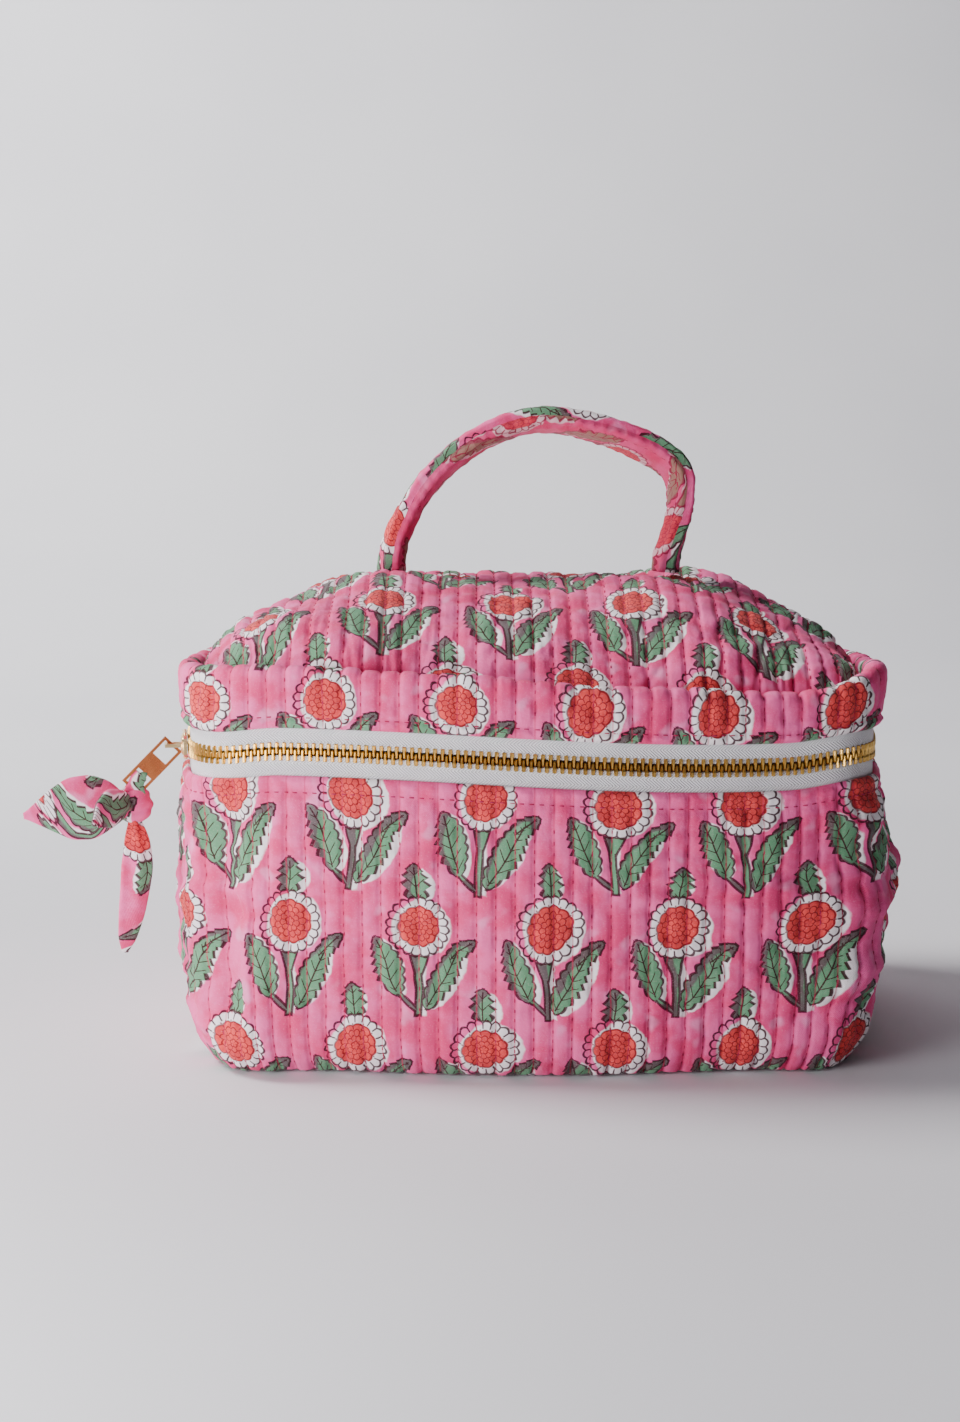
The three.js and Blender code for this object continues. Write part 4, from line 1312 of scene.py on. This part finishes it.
declare("handle_strap")
(handle_z - 1.5) * MM
(handle_z + 12) * MM
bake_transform(strap)


def strap_seam(edge, face):
    """The line of stitches beside a corded edge, on the outer or inner face."""
    cx, cy = np.cos(strap_turn), np.sin(strap_turn)
    error = np.abs(np.sign(cx) * np.abs(cx) ** 0.62 - edge * 0.68) + 10 * (np.sign(cy) != face)
    return rings[8:-8, int(np.argmin(error))], up[8:-8] * face


for edge in (-1, 1):
    for face in (-1, 1):
        add_stitches("handle", *strap_seam(edge, face), 2.4, 1.5)
# the strap bends below this, where the seams run into its feet
stitches["handle"] = [item for item in stitches["handle"] if item[0][2] > handle_z + 14]

# ---------- Bow on the zip pull ----------
bow_joint = joint("bow_swing")
bow_at = np.array(bow_joint["pos_m"]) / MM
bow_front = np.array(bow_joint["axis"], float) * -1.0
bow_front[2] = 0
bow_front /= np.linalg.norm(bow_front)
if bow_front[1] > 0:
    bow_front = -bow_front
bow_out = np.array([bow_front[1], -bow_front[0], 0.0])
if bow_out[0] > 0:
    bow_out = -bow_out
def bow_points(local):
    """Points outwards, forwards and upwards of the pull's far window."""
    return bow_at + np.asarray(local, float) @ np.array([bow_out, bow_front, UP])


KNOT_Z = sum(corner[2] for corner in node_box("bow_wing")) / 2 - bow_at[2]
KNOT_OUT = 1.7


def folded_section(half_width, thick, pleats, depth, phase):
    """A flattened ring of cloth with pleats along it."""
    turn = np.linspace(0, TAU, 61)[:-1]
    cx, cy = np.cos(turn), np.sin(turn)
    x = half_width * np.sign(cx) * np.abs(cx) ** 0.85
    y = thick * np.sign(cy) * np.abs(cy) ** 0.8
    pleat = np.cos(x / max(half_width, 0.1) * math.pi * pleats + phase)
    y = y + depth * pleat * np.sign(y) * (1 - np.abs(cx) ** 3)
    return np.stack([x, y], -1)


def bow_piece(name, keys, width, thick, across, node, pleats, depth, count, shift):
    """A folded piece of the bow along keys from the knot. width and thick are (fractions, half sizes)."""
    path = bow_points(spline(keys, count))

    def eased(t, keys):
        near = [min(1.0, max(0.0, t + d)) for d in (-0.05, -0.025, 0, 0.025, 0.05)]
        return float(np.mean(np.interp(near, *keys)))

    def section(t, at):
        deep = depth * float(smooth(1.0, 0.2, t))
        return folded_section(eased(t, width), eased(t, thick), pleats, deep, t * 2)

    obj, rings, _, _ = tube(name, path, np.tile(across, (count, 1)), section, shift)
    obj.data.materials.append(PRINT_BOW)
    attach(obj, "bow")
    declare(node)


def from_knot(*keys):
    """Places outwards, forwards and upwards of the knot's middle."""
    return [(KNOT_OUT + out, ahead, KNOT_Z + rise) for out, ahead, rise in keys]


bow_piece("bow_wing_cloth", from_knot((3.0, 0.6, 0), (12, 3.4, 0.6), (24, 5.0, 0.2), (37.5, 5.6, -1.4)),
          ([0, 0.16, 0.34, 0.55, 0.72, 0.9, 1], [3.4, 8.6, 11.4, 11.0, 7.6, 3.2, 0.7]),
          ([0, 0.25, 0.55, 0.85, 1], [2.2, 3.0, 2.4, 1.2, 0.5]), UP, "bow_wing", 2.0, 0.8, 64, (8, 34))
bow_piece("bow_wing_rear_cloth",
          from_knot((1.5, 1.2, 0), (5.5, 6.4, 1.2), (10.5, 13.0, 0.4), (14, 19.5, -2.2)),
          ([0, 0.2, 0.5, 0.8, 1], [2.4, 5.2, 7.0, 4.6, 0.8]),
          ([0, 0.3, 0.7, 1], [1.8, 2.4, 1.5, 0.5]), UP, None, 1.8, 0.55, 44, (20, 40))
bow_piece("bow_tail_cloth", from_knot((0, 0.4, -5.0), (-0.6, 1.0, -18), (1.2, 1.4, -34), (4.6, 1.2, -52)),
          ([0, 0.12, 0.35, 0.7, 0.92, 1], [2.0, 4.2, 5.6, 4.6, 3.0, 0.7]),
          ([0, 0.25, 0.7, 1], [1.8, 2.2, 1.5, 0.5]), bow_out, "bow_tail", 1.5, 0.6, 70, (40, 22))


# the knot: a band wrapped round the gathered cloth, and the strip that holds it to the pull
def knot_mesh():
    """The band round the middle of the bow, gathered where it is pulled tight."""
    turn = np.linspace(0, TAU, 49)[:-1]
    rise = np.linspace(-1, 1, 25)
    T, R = np.meshgrid(turn, rise, indexing="ij")
    bulge = np.sqrt(np.maximum(0.02, 1 - (R * 0.93) ** 2))
    radius = 6.3 * bulge * (1 + 0.05 * np.cos(R * 9 + np.sin(T * 2) * 1.3) + 0.03 * np.sin(T * 3 + R * 4))
    local = np.stack([KNOT_OUT + radius * np.cos(T), 0.66 * radius * np.sin(T), KNOT_Z + 0.4 + 6.4 * R], -1)
    world = bow_points(local)
    rows = len(rise)
    faces = []
    for i in range(len(turn)):
        m = (i + 1) % len(turn)
        for j in range(rows - 1):
            faces.append((i * rows + j, m * rows + j, m * rows + j + 1, i * rows + j + 1))
    faces.append(tuple(i * rows for i in range(len(turn)))[::-1])
    faces.append(tuple(i * rows + rows - 1 for i in range(len(turn))))
    uv = []
    flat = np.stack([T * 6.0, R * 6.0 + 60], -1).reshape(-1, 2)
    for face in faces:
        uv += [flat[k] for k in face]
    obj = make_mesh("bow_knot_cloth", world.reshape(-1, 3), faces, np.array(uv))
    obj.data.materials.append(PRINT_BOW)
    return obj


knot = knot_mesh()
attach(knot, "bow")
declare("bow_knot")
for face in (-1, 1):
    strip_keys = [(-1.0, 1.45 * face, 1.6), (0.4, 1.6 * face, 0.0), (1.1, 1.75 * face, -2.0),
                  (KNOT_OUT, 1.9 * face, KNOT_Z + 4)]
    bow_piece(f"bow_strip_{'front' if face > 0 else 'rear'}", strip_keys, ([0, 0.5, 1], [2.3, 2.7, 4.2]),
              ([0, 0.5, 1], [0.55, 0.7, 0.9]), bow_out, None, 1.0, 0.05, 20, (60, 5))
strip_keys = [(-1.1, -1.6, 1.0), (-1.7, -0.9, 1.9), (-1.9, 0, 2.2), (-1.7, 0.9, 1.9), (-1.1, 1.6, 1.0)]
bow_piece("bow_strip_top", strip_keys, ([0, 0.5, 1], [1.3, 1.2, 1.3]), ([0, 1], [0.5, 0.5]), bow_out, None,
          1.0, 0.03, 16, (62, 9))

# rolled lips along both edges of the slider's outer plate
for lip in (-1, 1):
    q = np.linspace(0, 1, 14)
    lip_local = np.stack([PLATE_FACE - 0.75 + 0 * q, -3.9 + 7.8 * q, lip * (4.55 - 0.55 * q)], -1)
    lip_turn = np.arange(12) * TAU / 12
    lip_section = np.stack([0.95 * np.cos(lip_turn), 0.55 * np.sin(lip_turn)], -1)

    def lip_ring(t, at):
        return lip_section * (0.45 + 0.55 * float(smooth(0, 0.12, min(t, 1 - t))))

    lip_obj, _, _, _ = tube(f"slider_lip_{'upper' if lip > 0 else 'lower'}", slider_points(lip_local),
                            np.tile(slider_out, (14, 1)), lip_ring)
    lip_obj.data.materials.append(GOLD)
    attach(lip_obj, "slider")

for body in sorted(stitches):
    build_stitches(body, THREAD)

# ---------- Setting ----------
STAGE = new_material("stage_paper", 0.95)
stage_tree = STAGE.node_tree
stage_place = stage_tree.nodes.new("ShaderNodeTexCoord").outputs["Object"]
stage_tone = noise(stage_tree, stage_place, 3.0, 2.0)
stage_tree.links.new(mix(stage_tree, stage_tone.step(0.3, 0.7), rgb(226, 225, 228), rgb(220, 219, 223)),
                     principled(STAGE).inputs["Base Color"])

sweep = [(-7.0, 0.0), (0.9, 0.0)]
sweep += [(0.9 + 0.9 * math.sin(a), 0.9 - 0.9 * math.cos(a)) for a in np.linspace(0, math.pi / 2, 25)[1:]]
sweep += [(1.8, 3.5)]
floor_points = [(x, y, z) for y, z in sweep for x in (-6.0, 6.0)]
floor_mesh = bpy.data.meshes.new("backdrop")
floor_faces = [(2 * i, 2 * i + 1, 2 * i + 3, 2 * i + 2) for i in range(len(sweep) - 1)]
floor_mesh.from_pydata(floor_points, [], floor_faces)
floor_mesh.polygons.foreach_set("use_smooth", [True] * len(floor_mesh.polygons))
floor = bpy.data.objects.new("backdrop", floor_mesh)
floor.location.z = float(cad_bounds[0][2]) - 0.0002
bpy.context.collection.objects.link(floor)
floor.data.materials.append(STAGE)

# the room is lighter on the window's side
world = bpy.data.worlds.new("soft room")
bpy.context.scene.world = world
world.use_nodes = True
background = next(n for n in world.node_tree.nodes if n.type == "BACKGROUND")
direction = world.node_tree.nodes.new("ShaderNodeTexCoord").outputs["Generated"]
split = world.node_tree.nodes.new("ShaderNodeSeparateXYZ")
world.node_tree.links.new(direction, split.inputs[0])
towards_right = Value(world.node_tree, split.outputs[0]).step(-0.9, 0.8)
room = mix(world.node_tree, towards_right, (0.68, 0.70, 0.80), (0.065, 0.032, 0.028))
world.node_tree.links.new(room, background.inputs["Color"])
background.inputs["Strength"].default_value = 0.36


def area_light(name, place, target, size, power, colour=(1, 1, 1)):
    data = bpy.data.lights.new(name, "AREA")
    data.shape = "RECTANGLE"
    data.size, data.size_y = size
    data.energy = power
    data.color = colour
    light = bpy.data.objects.new(name, data)
    light.location = place
    light.rotation_euler = (Vector(target) - Vector(place)).to_track_quat("-Z", "Y").to_euler()
    bpy.context.collection.objects.link(light)
    return light


area_light("window", (-0.36, -0.40, 0.115), (-0.03, 0, 0.06), (0.26, 0.26), 3.2, (0.985, 0.975, 1.0))
area_light("backdrop_wash", (-1.4, 0.35, 1.6), (-0.1, 1.8, 0.6), (1.2, 0.8), 92.0)

camera_data = bpy.data.cameras.new("camera")
camera_data.sensor_width = 36
camera_data.lens = 50.63
camera = bpy.data.objects.new("camera", camera_data)
camera.location = (-0.018, -0.733, 0.221)
camera.rotation_euler = (math.radians(81.7), 0, 0)
bpy.context.collection.objects.link(camera)
bpy.context.scene.camera = camera
